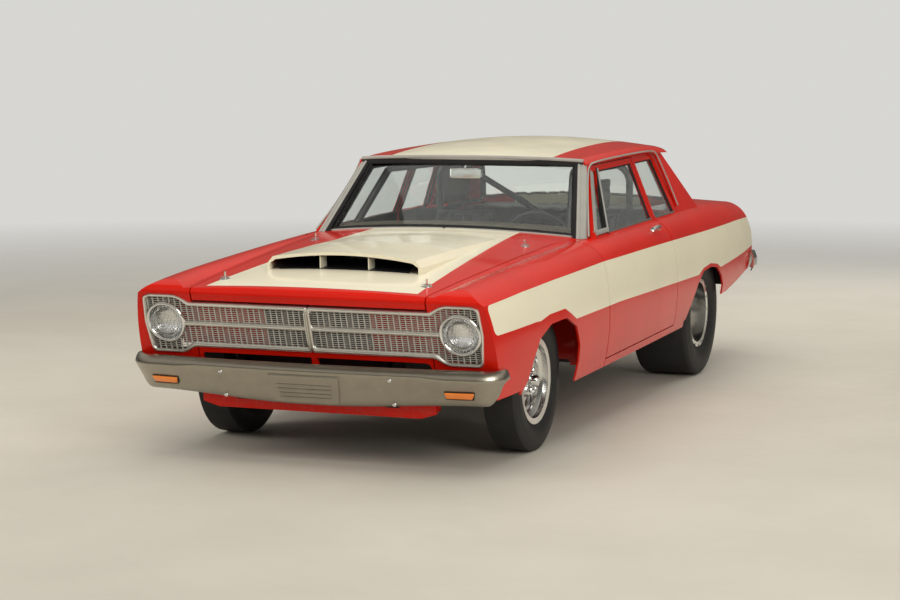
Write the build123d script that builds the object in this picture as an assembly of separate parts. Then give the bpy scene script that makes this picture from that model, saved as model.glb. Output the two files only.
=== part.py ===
from build123d import *
import functools
import math
import os

# Drag racing car: a 1960s two-door sedan on narrow front tyres and wide rear slicks.
# Frame: millimetres, +X is the car's left, +Y its rear, +Z up, origin on the floor under its middle.
# The body is drawn level and then raked nose-down as one piece by rake(). Wheels, axles and
# suspension are drawn straight in the frame of the floor.

# Running gear
FRONT_AXLE_Y = -1700.0
WHEELBASE = 2946.0
REAR_AXLE_Y = FRONT_AXLE_Y + WHEELBASE
FRONT_TYRE_R = 345.0
FRONT_TYRE_W = 186.0
REAR_TYRE_R = 385.0
REAR_TYRE_W = 352.0
FENDER_X = 954.0
QUARTER_X = 952.0
FRONT_TYRE_INSET = 93.0
REAR_TYRE_INSET = 60.0
FRONT_TRACK_HALF = FENDER_X - FRONT_TYRE_INSET - FRONT_TYRE_W / 2
REAR_TRACK_HALF = QUARTER_X - REAR_TYRE_INSET - REAR_TYRE_W / 2
RIM_FLANGE_R = 213.0
RIM_SEAT_R = 191.0
FRONT_RIM_W = 152.0
REAR_RIM_W = 300.0
FRONT_DISC_X = 8.0
REAR_DISC_X = -60.0
SPINDLE_R = 25.0
RUNNING_CLEAR = 0.08
KINGPIN_X = 640.0
KINGPIN_R = 11.0
SEAT_GAP = 0.3

# Body, in its level frame
RAKE_SLOPE = 0.028
RAKE_DEG = math.degrees(math.atan(RAKE_SLOPE))
RAKE_PIVOT_Z = 600.0
BLOCK_LOW_Z = 240.0
BLOCK_MID_Z = 600.0
SKIN = 12.0
DOOR_T = 85.0
GAP = 7.0
NOSE_Y = -2560.0
TAIL_Y = 2500.0

# Panel lines, in the level frame
HOOD_FRONT_X = 598.0
HOOD_REAR_X = 690.0
HOOD_REAR_Y = -930.0
HOOD_T = 24.0
DOOR_FRONT_Y = -880.0
DOOR_REAR_Y = 420.0
DOOR_BEVEL = 13.0
DOOR_TOP_X = 785.0
DOOR_FRONT_GAP = 8.0
HINGE_X = 945.0
HINGE_Y = DOOR_FRONT_Y + 40.0
HINGE_HEIGHTS = (520.0, 680.0)
HINGE_PIN_R = 3.0
HINGE_T = 10.0
SILL_LOW_Z = 292.0
SILL_TOP_Z = 331.0
DOOR_LOW_Z = SILL_TOP_Z + GAP
BELT_Z = 952.0
DECK_FRONT_Y = 1612.0
DECK_REAR_Y = 2366.0
DECK_HALF_X = 620.0
DECK_T = 20.0
DECK_FRONT_GAP = 12.0
DECK_HINGE_X = 330.0
DECK_HINGE_Y = DECK_FRONT_Y + 40.0
DECK_HINGE_Z = 958.0
DECK_PIN_R = 4.0
HOOD_PINS = ((591.0, -1162.0, 977.0), (525.0, -2325.0, 905.0))
HOOD_PIN_R = 5.0
HOOD_PIN_CLEAR = 1.0
SHELF_HALF_X = 640.0

# Floor, rails and wheelhouses, in the level frame
SHEET = 12.0
RAIL_IN_X = 350.0
RAIL_OUT_X = 420.0
RAIL_LOW_Z = 261.0
BOOT_RAIL_LOW_Z = 478.0
BOOT_Z = 548.0
TUB_X = 490.0
TUB_FRONT_Y = 760.0
TUB_REAR_Y = 1720.0
TUB_TOP_Z = 760.0
FIREWALL_Y = -1000.0
APRON_Z = 778.0
BUMPER_X = 960.0
FRONT_BUMPER_Y = -2585.0
FRONT_BUMPER_BOW = 43.0
# Front bumper section, from the top lip past its crest to the lower edge: height, inset of the face
FRONT_BUMPER_ROWS = ((315.0, 84.0), (330.0, 68.0), (482.0, 0.0), (504.0, 12.0), (515.0, 34.0))

# Greenhouse, in the level frame
SIDE_BELT_X = 812.0
SIDE_TOP_X = 675.0
SIDE_TOP_Z = 1300.0
FRAME_T = 28.0
FRAME_W = 30.0
GLASS_T = 5.0
ROOF_T = 26.0
PILLAR_SLOPE = (SIDE_BELT_X - SIDE_TOP_X) / (SIDE_TOP_Z - BELT_Z)

# Body sections. Columns: y, low x, widest x, crease x, crease z, shoulder x, shoulder z, top z
BODY_SECTIONS = (
    (-2560.0, 868.0, 910.0, 884.0, 812.0, 640.0, 842.0, 852.0),
    (-2100.0, 895.0, 944.0, 912.0, 832.0, 665.0, 878.0, 905.0),
    (-1700.0, 905.0, FENDER_X, 922.0, 840.0, 690.0, 902.0, 937.0),
    (-900.0, 912.0, 960.0, 928.0, 846.0, 740.0, 938.0, 982.0),
    (0.0, 912.0, 960.0, 928.0, 834.0, 775.0, 952.0, 1000.0),
    (1250.0, 905.0, QUARTER_X, 922.0, 812.0, 765.0, 950.0, 998.0),
    (2000.0, 885.0, 932.0, 902.0, 802.0, 740.0, 922.0, 955.0),
    (2500.0, 852.0, 897.0, 868.0, 785.0, 715.0, 880.0, 900.0),
)

# Roof sections. Columns: y, edge x, edge z, corner x, corner z, crown z
ROOF_SECTIONS = (
    (-392.0, 674.0, 1308.0, 618.0, 1340.0, 1356.0),
    (0.0, 692.0, 1309.0, 632.0, 1352.0, 1392.0),
    (450.0, 694.0, 1308.0, 632.0, 1356.0, 1407.0),
    (850.0, 690.0, 1300.0, 628.0, 1348.0, 1396.0),
    (1188.0, 676.0, 1286.0, 606.0, 1318.0, 1342.0),
)
ROOF_HEADER = 40.0

# Nose: the leaning face that carries the grille, in the level frame
NOSE_TOP = (-2532.0, 812.0)
NOSE_LOW = (-2440.0, 500.0)
NOSE_MID_Z = 655.0
LAMP_X = 757.0
LAMP_V = 20.0
LAMP_R = 91.0
LAMP_SEAT = 0.4

# Grille frame outline on the nose face, right half: x, height above its middle
GRILLE_OUTLINE = (
    (0.0, 128.0), (618.0, 128.0), (662.0, 154.0), (698.0, 165.0), (828.0, 165.0), (862.0, 150.0),
    (872.0, 20.0), (856.0, -122.0), (842.0, -137.0), (690.0, -137.0), (664.0, -130.0), (618.0, -104.0),
    (0.0, -104.0),
)
# The same frame's window, right half
GRILLE_WINDOW = (
    (16.0, 104.0), (622.0, 104.0), (668.0, 138.0), (700.0, 149.0), (826.0, 149.0), (848.0, 139.0),
    (857.0, 18.0), (842.0, -112.0), (832.0, -122.0), (694.0, -122.0), (670.0, -115.0), (624.0, -78.0),
    (16.0, -78.0),
)
GRILLE_T = 26.0
GRILLE_PITCH = 32.0
GRILLE_BAR = 3.0

# Side view of the wheel openings, in the level frame: y, z
FRONT_ARCH = (
    (-2150.0, 200.0), (-2150.0, 352.0), (-2083.0, 408.0), (-2024.0, 505.0), (-1945.0, 590.0),
    (-1781.0, 640.0), (-1560.0, 640.0), (-1420.0, 580.0), (-1358.0, 479.0), (-1350.0, 386.0),
    (-1380.0, 200.0),
)
REAR_ARCH = (
    (640.0, 200.0), (679.0, 331.0), (801.0, 445.0), (902.0, 527.0), (1020.0, 582.0),
    (1200.0, 590.0), (1360.0, 570.0), (1470.0, 510.0), (1532.0, 440.0), (1520.0, 380.0),
    (1500.0, 200.0),
)


def side_prism(points, x_from, x_to):
    """A side view outline (y, z) run across the car from x_from to x_to."""
    face = make_face(Polyline(*points, close=True))
    return extrude(Plane.YZ.offset(x_from) * face, amount=x_to - x_from)


def plan_prism(points, z_from, z_to):
    """A plan outline (x, y) run upward from z_from to z_to."""
    face = make_face(Polyline(*points, close=True))
    return extrude(Plane.XY.offset(z_from) * face, amount=z_to - z_from)


def both_sides(points):
    """A closed outline from its right half, whose first and last points lie on the middle line."""
    return tuple(points) + tuple((-x, y) for x, y in reversed(points) if abs(x) > 0.01)


def box(x_from, x_to, y_from, y_to, z_from, z_to):
    """A box given by its limits."""
    size = (x_to - x_from, y_to - y_from, z_to - z_from)
    middle = ((x_from + x_to) / 2, (y_from + y_to) / 2, (z_from + z_to) / 2)
    return Pos(*middle) * Box(*size)


def rod(start, end, radius):
    """A round bar from one point to another."""
    path = Vector(*end) - Vector(*start)
    plane = Plane(origin=start, z_dir=path)
    return extrude(plane * Circle(radius), amount=path.length)


def bent_tube(points, bend, radius):
    """A round bar along straight runs joined by bends."""
    path = FilletPolyline(*points, radius=bend)
    plane = Plane(origin=points[0], z_dir=Vector(*points[1]) - Vector(*points[0]))
    return sweep(plane * Circle(radius), path=path)


def mirrored(shape):
    """The same piece on the other side of the car."""
    return mirror(shape, about=Plane.YZ)


def several(*shapes):
    """Solids that share a node."""
    return Compound([solid for shape in shapes for solid in shape.solids()])


def largest(shape):
    """The biggest solid of a cut piece."""
    return max(shape.solids(), key=lambda solid: solid.volume)


def rake(shape):
    """A piece of the level body, turned nose-down about the front axle."""
    there = Pos(0, FRONT_AXLE_Y, RAKE_PIVOT_Z)
    back = Pos(0, -FRONT_AXLE_Y, -RAKE_PIVOT_Z)
    return there * Rot(RAKE_DEG, 0, 0) * back * shape


def side_x(z):
    """Outer face of the side windows at a height."""
    return SIDE_BELT_X - (z - BELT_Z) * PILLAR_SLOPE


def body_section(row, inset):
    """One closed cross-section of the lower body, inset from its outer face."""
    y, low_x, wide_x, crease_x, crease_z, shoulder_x, shoulder_z, top_z = row
    low = (low_x - inset, BLOCK_LOW_Z - inset)
    wide = (wide_x - inset, BLOCK_MID_Z)
    crease = (crease_x - inset, crease_z - inset * 0.35)
    shoulder = (shoulder_x - inset * 0.45, shoulder_z - inset)
    top = (0.0, top_z - inset)
    bulge = 0.16
    middle = (
        (crease[0] + shoulder[0]) / 2 + bulge * (shoulder[1] - crease[1]),
        (crease[1] + shoulder[1]) / 2 + bulge * (crease[0] - shoulder[0]),
    )
    flip = lambda p: (-p[0], p[1])
    edges = [
        Line(flip(low), low),
        ThreePointArc(low, wide, crease),
        ThreePointArc(crease, middle, shoulder),
        ThreePointArc(shoulder, top, flip(shoulder)),
        ThreePointArc(flip(shoulder), flip(middle), flip(crease)),
        ThreePointArc(flip(crease), flip(wide), flip(low)),
    ]
    return Plane.XZ.offset(-y) * make_face(Curve() + edges)


def body_block(inset):
    """The lower body as one smooth solid, inset from its outer face."""
    return loft([body_section(row, inset) for row in BODY_SECTIONS])


def roof_section(row, inset):
    """One closed cross-section of the roof, inset from its outer face."""
    y, edge_x, edge_z, corner_x, corner_z, crown_z = row
    edge = (edge_x - inset, edge_z - inset)
    corner = (corner_x - inset * 0.6, corner_z - inset)
    bend = ((edge[0] * 0.62 + corner[0] * 0.38), (edge[1] * 0.36 + corner[1] * 0.64))
    crown = (0.0, crown_z - inset)
    flip = lambda p: (-p[0], p[1])
    edges = [
        Line(flip(edge), edge),
        ThreePointArc(edge, bend, corner),
        ThreePointArc(corner, crown, flip(corner)),
        ThreePointArc(flip(corner), flip(bend), flip(edge)),
    ]
    return Plane.XZ.offset(-y) * make_face(Curve() + edges)


def hood_edge_x(y):
    """Half width of the hood at a place along the car."""
    share = (y - NOSE_Y) / (HOOD_REAR_Y - NOSE_Y)
    return HOOD_FRONT_X + share * (HOOD_REAR_X - HOOD_FRONT_X)


def nose_cut():
    """What lies ahead of the leaning front face and the rolled front edge of fenders and hood."""
    return side_prism(((-2800, 1200), (-2400, 1200), (-2400, 900), (-2462, 874), (-2492, 863),
                       (-2513, 854), (-2528, 843), (-2535, 830), (-2536, 820), NOSE_TOP, NOSE_LOW,
                       (-2410, 200), (-2800, 200)), -1100, 1100)


def nose_plane():
    """The leaning face of the nose: x across, y up the face, z forward."""
    run = NOSE_LOW[0] - NOSE_TOP[0]
    rise = NOSE_TOP[1] - NOSE_LOW[1]
    y = NOSE_LOW[0] - run * (NOSE_MID_Z - NOSE_LOW[1]) / rise
    return Plane(origin=(0, y, NOSE_MID_Z), x_dir=(1, 0, 0), z_dir=(0, -rise, -run))


def nose_slab(points, deep, out):
    """An outline on the nose face, run back by one depth and forward by another."""
    face = make_face(Polyline(*points, close=True))
    plane = nose_plane()
    return extrude(plane.offset(-deep) * face, amount=deep + out)


OUTER = body_block(0.0)
INNER = body_block(SKIN)
DOOR_INNER = body_block(DOOR_T)
HOOD_INNER = body_block(HOOD_T)
DECK_INNER = body_block(DECK_T)
ROOF_OUTER = loft([roof_section(row, 0.0) for row in ROOF_SECTIONS])


def grille_hole():
    """Room for the grille frame in the faces round it."""
    return nose_slab(both_sides(GRILLE_OUTLINE), GRILLE_T + 4, 60)


def front_fender():
    """Left fender: skin over the front wheel from the door to the lamp, and its front face."""
    ends = (
        (hood_edge_x(NOSE_Y) + GAP, NOSE_Y), (hood_edge_x(HOOD_REAR_Y) + GAP, HOOD_REAR_Y),
        (HOOD_REAR_X + 83, HOOD_REAR_Y + GAP), (HOOD_REAR_X + 83, DOOR_FRONT_Y - DOOR_FRONT_GAP),
        (1000, DOOR_FRONT_Y - DOOR_FRONT_GAP), (1000, NOSE_Y),
    )
    region = plan_prism(ends, 200, 1100)
    skin = (OUTER & region) - INNER
    face = nose_slab(((HOOD_FRONT_X + GAP, -300), (1000, -300), (1000, 260),
                      (HOOD_FRONT_X + GAP, 260)), 22, 40)
    skin += OUTER & face & region
    skin += OUTER & region & box(500, 1000, NOSE_Y, NOSE_Y + 95, 822, 1000)
    low = side_prism(((-2700, 100), (-2700, 372), (-2150, 372), (-2150, 330), (-1360, 300),
                      (-1360, SILL_LOW_Z), (-800, SILL_LOW_Z), (-800, 100)), 500, 1100)
    return skin - nose_cut() - low - side_prism(FRONT_ARCH, 500, 1100) - grille_hole()


def nose_panel():
    """Painted strip between the fenders, with the air slots over the bumper and the low apron."""
    half = HOOD_FRONT_X + GAP
    face = nose_slab(((-half + 150, -420), (half - 150, -420), (half, -372), (half, 112),
                      (-half, 112), (-half, -372)), 22, 40)
    slot = nose_slab(((14, -205), (560, -205), (585, -194), (596, -166), (590, -142), (572, -131),
                      (14, -131)), 40, 60)
    panel = (OUTER & face) - nose_cut() - grille_hole() - slot - mirrored(slot)
    return panel & box(-half, half, -2700, -2300, 262, 640)


def grille():
    """Grille: bright frame, middle bar, centre piece and a lattice of fine bars."""
    frame = nose_slab(both_sides(GRILLE_OUTLINE), GRILLE_T, 6)
    left = nose_slab(GRILLE_WINDOW, GRILLE_T + 4, 12)
    right = mirrored(left)
    frame = frame - left - right
    bars = []
    for k in range(1, int(834 / GRILLE_PITCH) + 1):
        for side in (-1, 1):
            mid = side * (16 + k * GRILLE_PITCH)
            bars.append(nose_slab(((mid - GRILLE_BAR / 2, -140), (mid + GRILLE_BAR / 2, -140),
                                   (mid + GRILLE_BAR / 2, 170), (mid - GRILLE_BAR / 2, 170)),
                                  GRILLE_T - 8, -(GRILLE_T - 14)))
    for v in (-26, 54):
        bars.append(nose_slab(((-900, v - 1.5), (900, v - 1.5), (900, v + 1.5), (-900, v + 1.5)),
                              GRILLE_T - 8, -(GRILLE_T - 14)))
    room = left + right
    lattice = [bar & room for bar in bars]
    middle = nose_slab(((-700, 8), (700, 8), (700, 24), (-700, 24)), GRILLE_T - 6, 2)
    whole = frame.fuse(*[s for bar in lattice for s in bar.solids()])
    whole = whole.fuse(middle)
    for side in (-1, 1):
        ring = extrude(nose_plane().offset(-GRILLE_T) * (Pos(side * LAMP_X, LAMP_V)
                       * Circle(LAMP_R + 11)), amount=GRILLE_T + 8)
        whole = whole + ring
        hole = extrude(nose_plane().offset(-60) * (Pos(side * LAMP_X, LAMP_V) * Circle(LAMP_R)),
                       amount=120)
        whole = whole - hole
    return whole


def headlamps():
    """Two round headlamps."""
    lamps = []
    for side in (-1, 1):
        plane = nose_plane().offset(-52)
        spot = Pos(side * LAMP_X, LAMP_V)
        drum = extrude(plane * (spot * Circle(LAMP_R - LAMP_SEAT)), amount=52)
        ball = nose_plane().offset(-200) * (Pos(side * LAMP_X, LAMP_V, 0) * Sphere(216))
        cup = extrude(nose_plane() * (spot * Circle(LAMP_R - 6)), amount=30)
        lamps.append(drum + (cup & ball))
    return several(*lamps)


def radiator():
    """Radiator behind the grille, standing on the front cross member."""
    return box(-330, 330, -2340, -2285, SILL_TOP_Z, 735)


def rear_end_cut():
    """What lies behind the pointed end of the quarter panels and under their lower edge."""
    return side_prism(((2700, 1200), (2335, 1200), (2362, 885), (2395, 800), (2480, 690),
                       (2440, 565), (2300, 462), (2078, 437), (1663, 387), (1400, 380),
                       (1400, 100), (2700, 100)), -1100, 1100)


def quarter_panel():
    """Left quarter: the thick wall beside the rear floor and the skin over the slick."""
    y0 = DOOR_REAR_Y + GAP
    thick = ((DOOR_TOP_X, y0), (DOOR_TOP_X, 700), (1000, 700), (1000, y0))
    y1 = DECK_FRONT_Y - DECK_FRONT_GAP
    thin = (
        (DOOR_TOP_X, 700), (DOOR_TOP_X, 860), (SHELF_HALF_X, 860), (SHELF_HALF_X, y1),
        (DECK_HALF_X + GAP, y1), (DECK_HALF_X + GAP, 2520), (1000, 2520), (1000, 700),
    )
    panel = (OUTER & plan_prism(thick, SILL_TOP_Z, 1100)) - DOOR_INNER
    panel += (OUTER & plan_prism(thin, SILL_TOP_Z, 1100)) - INNER
    return panel - side_prism(REAR_ARCH, 480, 1100) - rear_end_cut()


@functools.cache
def sail():
    """Left rear roof pillar, from the quarter's shoulder up to the roof."""
    faces = []
    for z, front_y, back_y in ((BELT_Z - 62, 926.0, 1580.0), (SIDE_TOP_Z, 832.0, 1180.0)):
        outer = side_x(z)
        pts = ((outer, front_y), (outer - 8, back_y - 130), (outer - 62, back_y - 8),
               (outer - 150, back_y), (outer - 150, back_y - 30), (outer - 80, back_y - 60),
               (outer - 55, back_y - 150), (outer - 52, front_y))
        faces.append(Plane.XY.offset(z) * make_face(Polyline(*pts, close=True)))
    return largest(loft(faces, ruled=True) - OUTER - ROOF_OUTER)


def hood():
    """Lift-off hood with its rolled front lip and wide scoop."""
    ends = (
        (hood_edge_x(NOSE_Y), NOSE_Y), (hood_edge_x(HOOD_REAR_Y), HOOD_REAR_Y),
        (-hood_edge_x(HOOD_REAR_Y), HOOD_REAR_Y), (-hood_edge_x(NOSE_Y), NOSE_Y),
    )
    skin = (OUTER & plan_prism(ends, 700, 1100)) - HOOD_INNER
    lip = OUTER & side_prism(((-2600, 789), (-2514, 789), (-2486, 840), (-2486, 1000),
                              (-2600, 1000)), -HOOD_FRONT_X, HOOD_FRONT_X)
    panel = (skin + lip - nose_cut()) + hood_scoop()
    for x, y, top in HOOD_PINS:
        hole = rod((x, y, 700), (x, y, 1100), HOOD_PIN_R + HOOD_PIN_CLEAR)
        panel = panel - hole - mirrored(hole)
    return panel


def hood_pins():
    """Four posts on the wheelhouse walls that carry the hood, each with its pin."""
    seat = body_block(HOOD_T + SEAT_GAP)
    made = []
    for x, y, top in HOOD_PINS:
        post = rod((x, y, APRON_Z), (x, y, 1000), 15) & seat
        pin = rod((x, y, APRON_Z), (x, y, top), HOOD_PIN_R)
        made.append(post + pin)
    left = several(*made)
    return several(left, mirrored(left))


# Scoop sections. Columns: y, base x, edge x, edge z, crown z
SCOOP_ROWS = (
    (-2105.0, 406.0, 376.0, 960.0, 989.0),
    (-1600.0, 414.0, 388.0, 967.0, 995.0),
    (-950.0, 428.0, 402.0, 962.0, 977.0),
)
SCOOP_T = 14.0
SCOOP_DIVIDER_X = 128.0


def scoop_section(row, inset):
    """One arched cross-section of the scoop, inset from its outer face."""
    y, base_x, edge_x, edge_z, crown_z = row
    base, edge = (base_x - inset, edge_z - 34), (edge_x - inset, edge_z - inset)
    foot, crown = (base_x - inset, 870), (0, crown_z - inset)
    flip = lambda p: (-p[0], p[1])
    edges = [
        Line(flip(foot), foot), Line(foot, base), Line(base, edge),
        ThreePointArc(edge, crown, flip(edge)),
        Line(flip(edge), flip(base)), Line(flip(base), flip(foot)),
    ]
    return Plane.XZ.offset(-y) * make_face(Curve() + edges)


def hood_scoop():
    """Open-fronted air scoop that fades into the hood towards the windscreen."""
    outer, inner = [loft([scoop_section(row, inset) for row in SCOOP_ROWS], ruled=True)
                    for inset in (0.0, SCOOP_T)]
    scoop = outer - (inner & box(-500, 500, -2200, -1560, 800, 1100))
    for x in (-SCOOP_DIVIDER_X, SCOOP_DIVIDER_X):
        scoop += outer & box(x - 2.5, x + 2.5, -2090, -2020, 890, 985)
    return scoop - HOOD_INNER


def decklid():
    """Boot lid."""
    ends = ((DECK_HALF_X, DECK_FRONT_Y), (DECK_HALF_X, DECK_REAR_Y), (-DECK_HALF_X, DECK_REAR_Y),
            (-DECK_HALF_X, DECK_FRONT_Y))
    lid = (OUTER & plan_prism(ends, 700, 1100)) - DECK_INNER - rear_end_cut()
    for x in (-DECK_HINGE_X, DECK_HINGE_X):
        lid -= box(x - 10, x + 10, DECK_FRONT_Y - 20, DECK_HINGE_Y + 16, 880, DECK_HINGE_Z + 6)
        lid -= rod((x - 20, DECK_HINGE_Y, DECK_HINGE_Z), (x + 20, DECK_HINGE_Y, DECK_HINGE_Z),
                   DECK_PIN_R + RUNNING_CLEAR)
    return lid


def deck_hinges():
    """Two arms under the boot lid's front edge, each with its pin."""
    made = []
    low = DECK_HINGE_Z - 58
    for x in (-DECK_HINGE_X, DECK_HINGE_X):
        arm = box(x - 4, x + 4, 1560, DECK_FRONT_Y - DECK_FRONT_GAP, low, 965)
        arm += box(x - 4, x + 4, 1560, DECK_HINGE_Y + 4, low, low + 14)
        arm += box(x - 4, x + 4, DECK_HINGE_Y - 4, DECK_HINGE_Y + 4, low, DECK_HINGE_Z)
        arm += rod((x - 18, DECK_HINGE_Y, DECK_HINGE_Z), (x + 18, DECK_HINGE_Y, DECK_HINGE_Z),
                   DECK_PIN_R)
        made.append(arm)
    return made


def door():
    """Left door: a slab as thick as the whole door, and a frame round its window."""
    ends = (
        (DOOR_TOP_X, DOOR_FRONT_Y), (1000, DOOR_FRONT_Y), (1000, DOOR_REAR_Y),
        (960, DOOR_REAR_Y), (DOOR_TOP_X, DOOR_REAR_Y - DOOR_BEVEL),
    )
    slab = (OUTER & plan_prism(ends, DOOR_LOW_Z, 1100)) - DOOR_INNER
    for z in HINGE_HEIGHTS:
        slab -= box(HINGE_X - 88, HINGE_X + 6, DOOR_FRONT_Y - 1, HINGE_Y + 14, z - 8, z + 8)
        slab -= rod((HINGE_X, HINGE_Y, z - 16), (HINGE_X, HINGE_Y, z + 16), HINGE_PIN_R + RUNNING_CLEAR)
    return slab + window_frame()


def door_hinges():
    """Straps of the left door's two hinges, each with its pin."""
    made = []
    for z in HINGE_HEIGHTS:
        low, top = z - HINGE_T / 2, z + HINGE_T / 2
        strap = box(HINGE_X - 80, HINGE_X - 66, DOOR_FRONT_Y - DOOR_FRONT_GAP - 6, HINGE_Y + 5, low, top)
        strap += box(HINGE_X - 80, HINGE_X, HINGE_Y - 5, HINGE_Y + 5, low, top)
        strap += rod((HINGE_X, HINGE_Y, low), (HINGE_X, HINGE_Y, top), 5)
        strap += rod((HINGE_X, HINGE_Y, z - 15), (HINGE_X, HINGE_Y, z + 15), HINGE_PIN_R)
        made.append(strap)
    return made


# Side view of the door's window frame: its leaning front edge and its upright rear edge
WINDOW_FRONT = ((-694.0, 925.0), (-331.0, SIDE_TOP_Z))
DOOR_FRAME_REAR_Y = DOOR_REAR_Y - 10.0
POST_FRONT_Y = DOOR_FRAME_REAR_Y + 14.0


def side_slab(thickness, setback):
    """The plane of the side windows as a slab, set back from its outer face."""
    low, high = BELT_Z - 60, SIDE_TOP_Z + 40
    pts = ((side_x(low) - setback, low), (side_x(high) - setback, high),
           (side_x(high) - setback - thickness, high), (side_x(low) - setback - thickness, low))
    face = make_face(Polyline(*pts, close=True))
    return extrude(Plane.XZ.offset(900) * face, amount=-2300)


def window_outline(inset):
    """Side view of the door's window frame, inset from its edge."""
    (y0, z0), (y1, z1) = WINDOW_FRONT
    run, rise = y1 - y0, z1 - z0
    along = inset * math.hypot(run, rise) / rise
    low = BELT_Z - 2 if inset else z0
    top = z1 - inset
    front_low = y0 + along + (low - z0) * run / rise
    front_top = y0 + along + (top - z0) * run / rise
    return ((front_low, low), (front_top, top), (DOOR_FRAME_REAR_Y - inset, top),
            (DOOR_FRAME_REAR_Y - inset, low))


VENT_BAR = ((-468.0, 940.0), (-440.0, 940.0), (-225.0, 1295.0), (-253.0, 1295.0))


def window_frame():
    """Frame of the left door's window, with the vent window's upright."""
    slab = side_slab(FRAME_T, 0.0)
    ring = slab & side_prism(window_outline(0.0), 500, 1000)
    ring -= side_prism(window_outline(FRAME_W), 500, 1000)
    return ring + (slab & side_prism(VENT_BAR, 500, 1000))


def door_glass():
    """Left door's fixed panes, set against the frame."""
    pane = side_slab(GLASS_T, 11.0) & side_prism(window_outline(FRAME_W), 500, 1000)
    return pane - side_prism(VENT_BAR, 500, 1000) - OUTER


# Side view of the quarter window's frame and opening
QUARTER_FRAME = ((POST_FRONT_Y, 925.0), (POST_FRONT_Y, SIDE_TOP_Z + 9), (828.0, SIDE_TOP_Z + 9),
                 (909.0, 925.0))
QUARTER_OPENING = ((POST_FRONT_Y + 38, BELT_Z - 2), (POST_FRONT_Y + 38, SIDE_TOP_Z - 30),
                   (798.0, SIDE_TOP_Z - 30), (862.0, BELT_Z - 2))


def quarter_glass():
    """Left quarter window."""
    return (side_slab(GLASS_T, 11.0) & side_prism(QUARTER_OPENING, 500, 1000)) - OUTER


def door_post():
    """Left pillar behind the door, with the frame round the quarter window."""
    slab = side_slab(FRAME_T, 0.0)
    ring = (slab & side_prism(QUARTER_FRAME, 500, 1000)) - side_prism(QUARTER_OPENING, 500, 1000)
    return largest(ring - OUTER - ROOF_OUTER)


@functools.cache
def screen_pillar():
    """Left windscreen pillar."""
    top = ROOF_SECTIONS[0][2] - SEAT_GAP
    rows = ((930.0, 782.0, -754.0, 64.0, 60.0), (top, 668.0, -392.0, 56.0, 44.0))
    faces = []
    for z, outer, front, wide, deep in rows:
        pts = ((outer, front + 22), (outer - 20, front), (outer - wide, front - 6),
               (outer - wide, front + deep - 20), (outer - wide + 20, front + deep),
               (outer, front + deep))
        faces.append(Plane.XY.offset(z) * make_face(Polyline(*pts, close=True)))
    return largest(loft(faces, ruled=True) - OUTER)


def roof():
    """Roof panel with its side rails and the bars over the windscreen and back window."""
    inner = loft([roof_section(row, ROOF_T) for row in ROOF_SECTIONS])
    front, rear = ROOF_SECTIONS[0][0], ROOF_SECTIONS[-1][0]
    keep = box(-900, 900, front + ROOF_HEADER, rear - ROOF_HEADER, 1200, 1500)
    return ROOF_OUTER - (inner & keep)


def band_glass(rows, thickness):
    """Curved glass between two level arcs. Each row: z, half width, edge y, middle y."""
    faces = []
    for z, half, edge_y, middle_y in rows:
        edges = [
            ThreePointArc((-half, edge_y), (0, middle_y), (half, edge_y)),
            Line((half, edge_y), (half, edge_y + thickness)),
            ThreePointArc((half, edge_y + thickness), (0, middle_y + thickness),
                          (-half, edge_y + thickness)),
            Line((-half, edge_y + thickness), (-half, edge_y)),
        ]
        faces.append(Plane.XY.offset(z) * make_face(Curve() + edges))
    return loft(faces, ruled=True)


def windscreen():
    """Curved front glass."""
    glass = band_glass(((930.0, 712.0, -728.0, -856.0), (1320.0, 602.0, -366.0, -382.0)), 7.0)
    pillar = screen_pillar()
    return glass - OUTER - ROOF_OUTER - pillar - mirrored(pillar)


def backlight():
    """Curved back glass."""
    glass = band_glass(((930.0, 664.0, 1533.0, 1614.0), (1320.0, 534.0, 1144.0, 1150.0)), -7.0)
    pillar = sail()
    return glass - OUTER - ROOF_OUTER - pillar - mirrored(pillar)


def scuttle():
    """Panel ahead of the windscreen, the firewall and the pillars that carry the doors."""
    x1, x2 = HOOD_REAR_X + 76, HOOD_REAR_X + 88
    y1 = HOOD_REAR_Y + GAP
    plan = both_sides(((0, y1), (x1, y1), (x1, DOOR_FRONT_Y), (x2, DOOR_FRONT_Y), (x2, -640),
                       (SHELF_HALF_X, -640), (SHELF_HALF_X, -690), (0, -690)))
    top = (OUTER & plan_prism(plan, 800, 1100)) - INNER
    wall = INNER & box(-x2, x2, FIREWALL_Y - SHEET, FIREWALL_Y, SILL_TOP_Z + SHEET, 1100)
    wall -= box(-150, 150, -1100, -900, 0, 440)
    shelf = INNER & box(-x2, x2, FIREWALL_Y, -690, 890, 902)
    web = INNER & box(-x2, x2, y1, y1 + SHEET, 900, 1100)
    piece = top + (wall & box(-1000, 1000, -1100, -900, 0, 902)) + shelf + web
    pillar = INNER & box(x2, 1000, FIREWALL_Y - SHEET, DOOR_FRONT_Y - DOOR_FRONT_GAP - 1,
                         SILL_TOP_Z, 902)
    for strap in door_hinges():
        pillar += strap
    return piece + pillar + mirrored(pillar)


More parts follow.
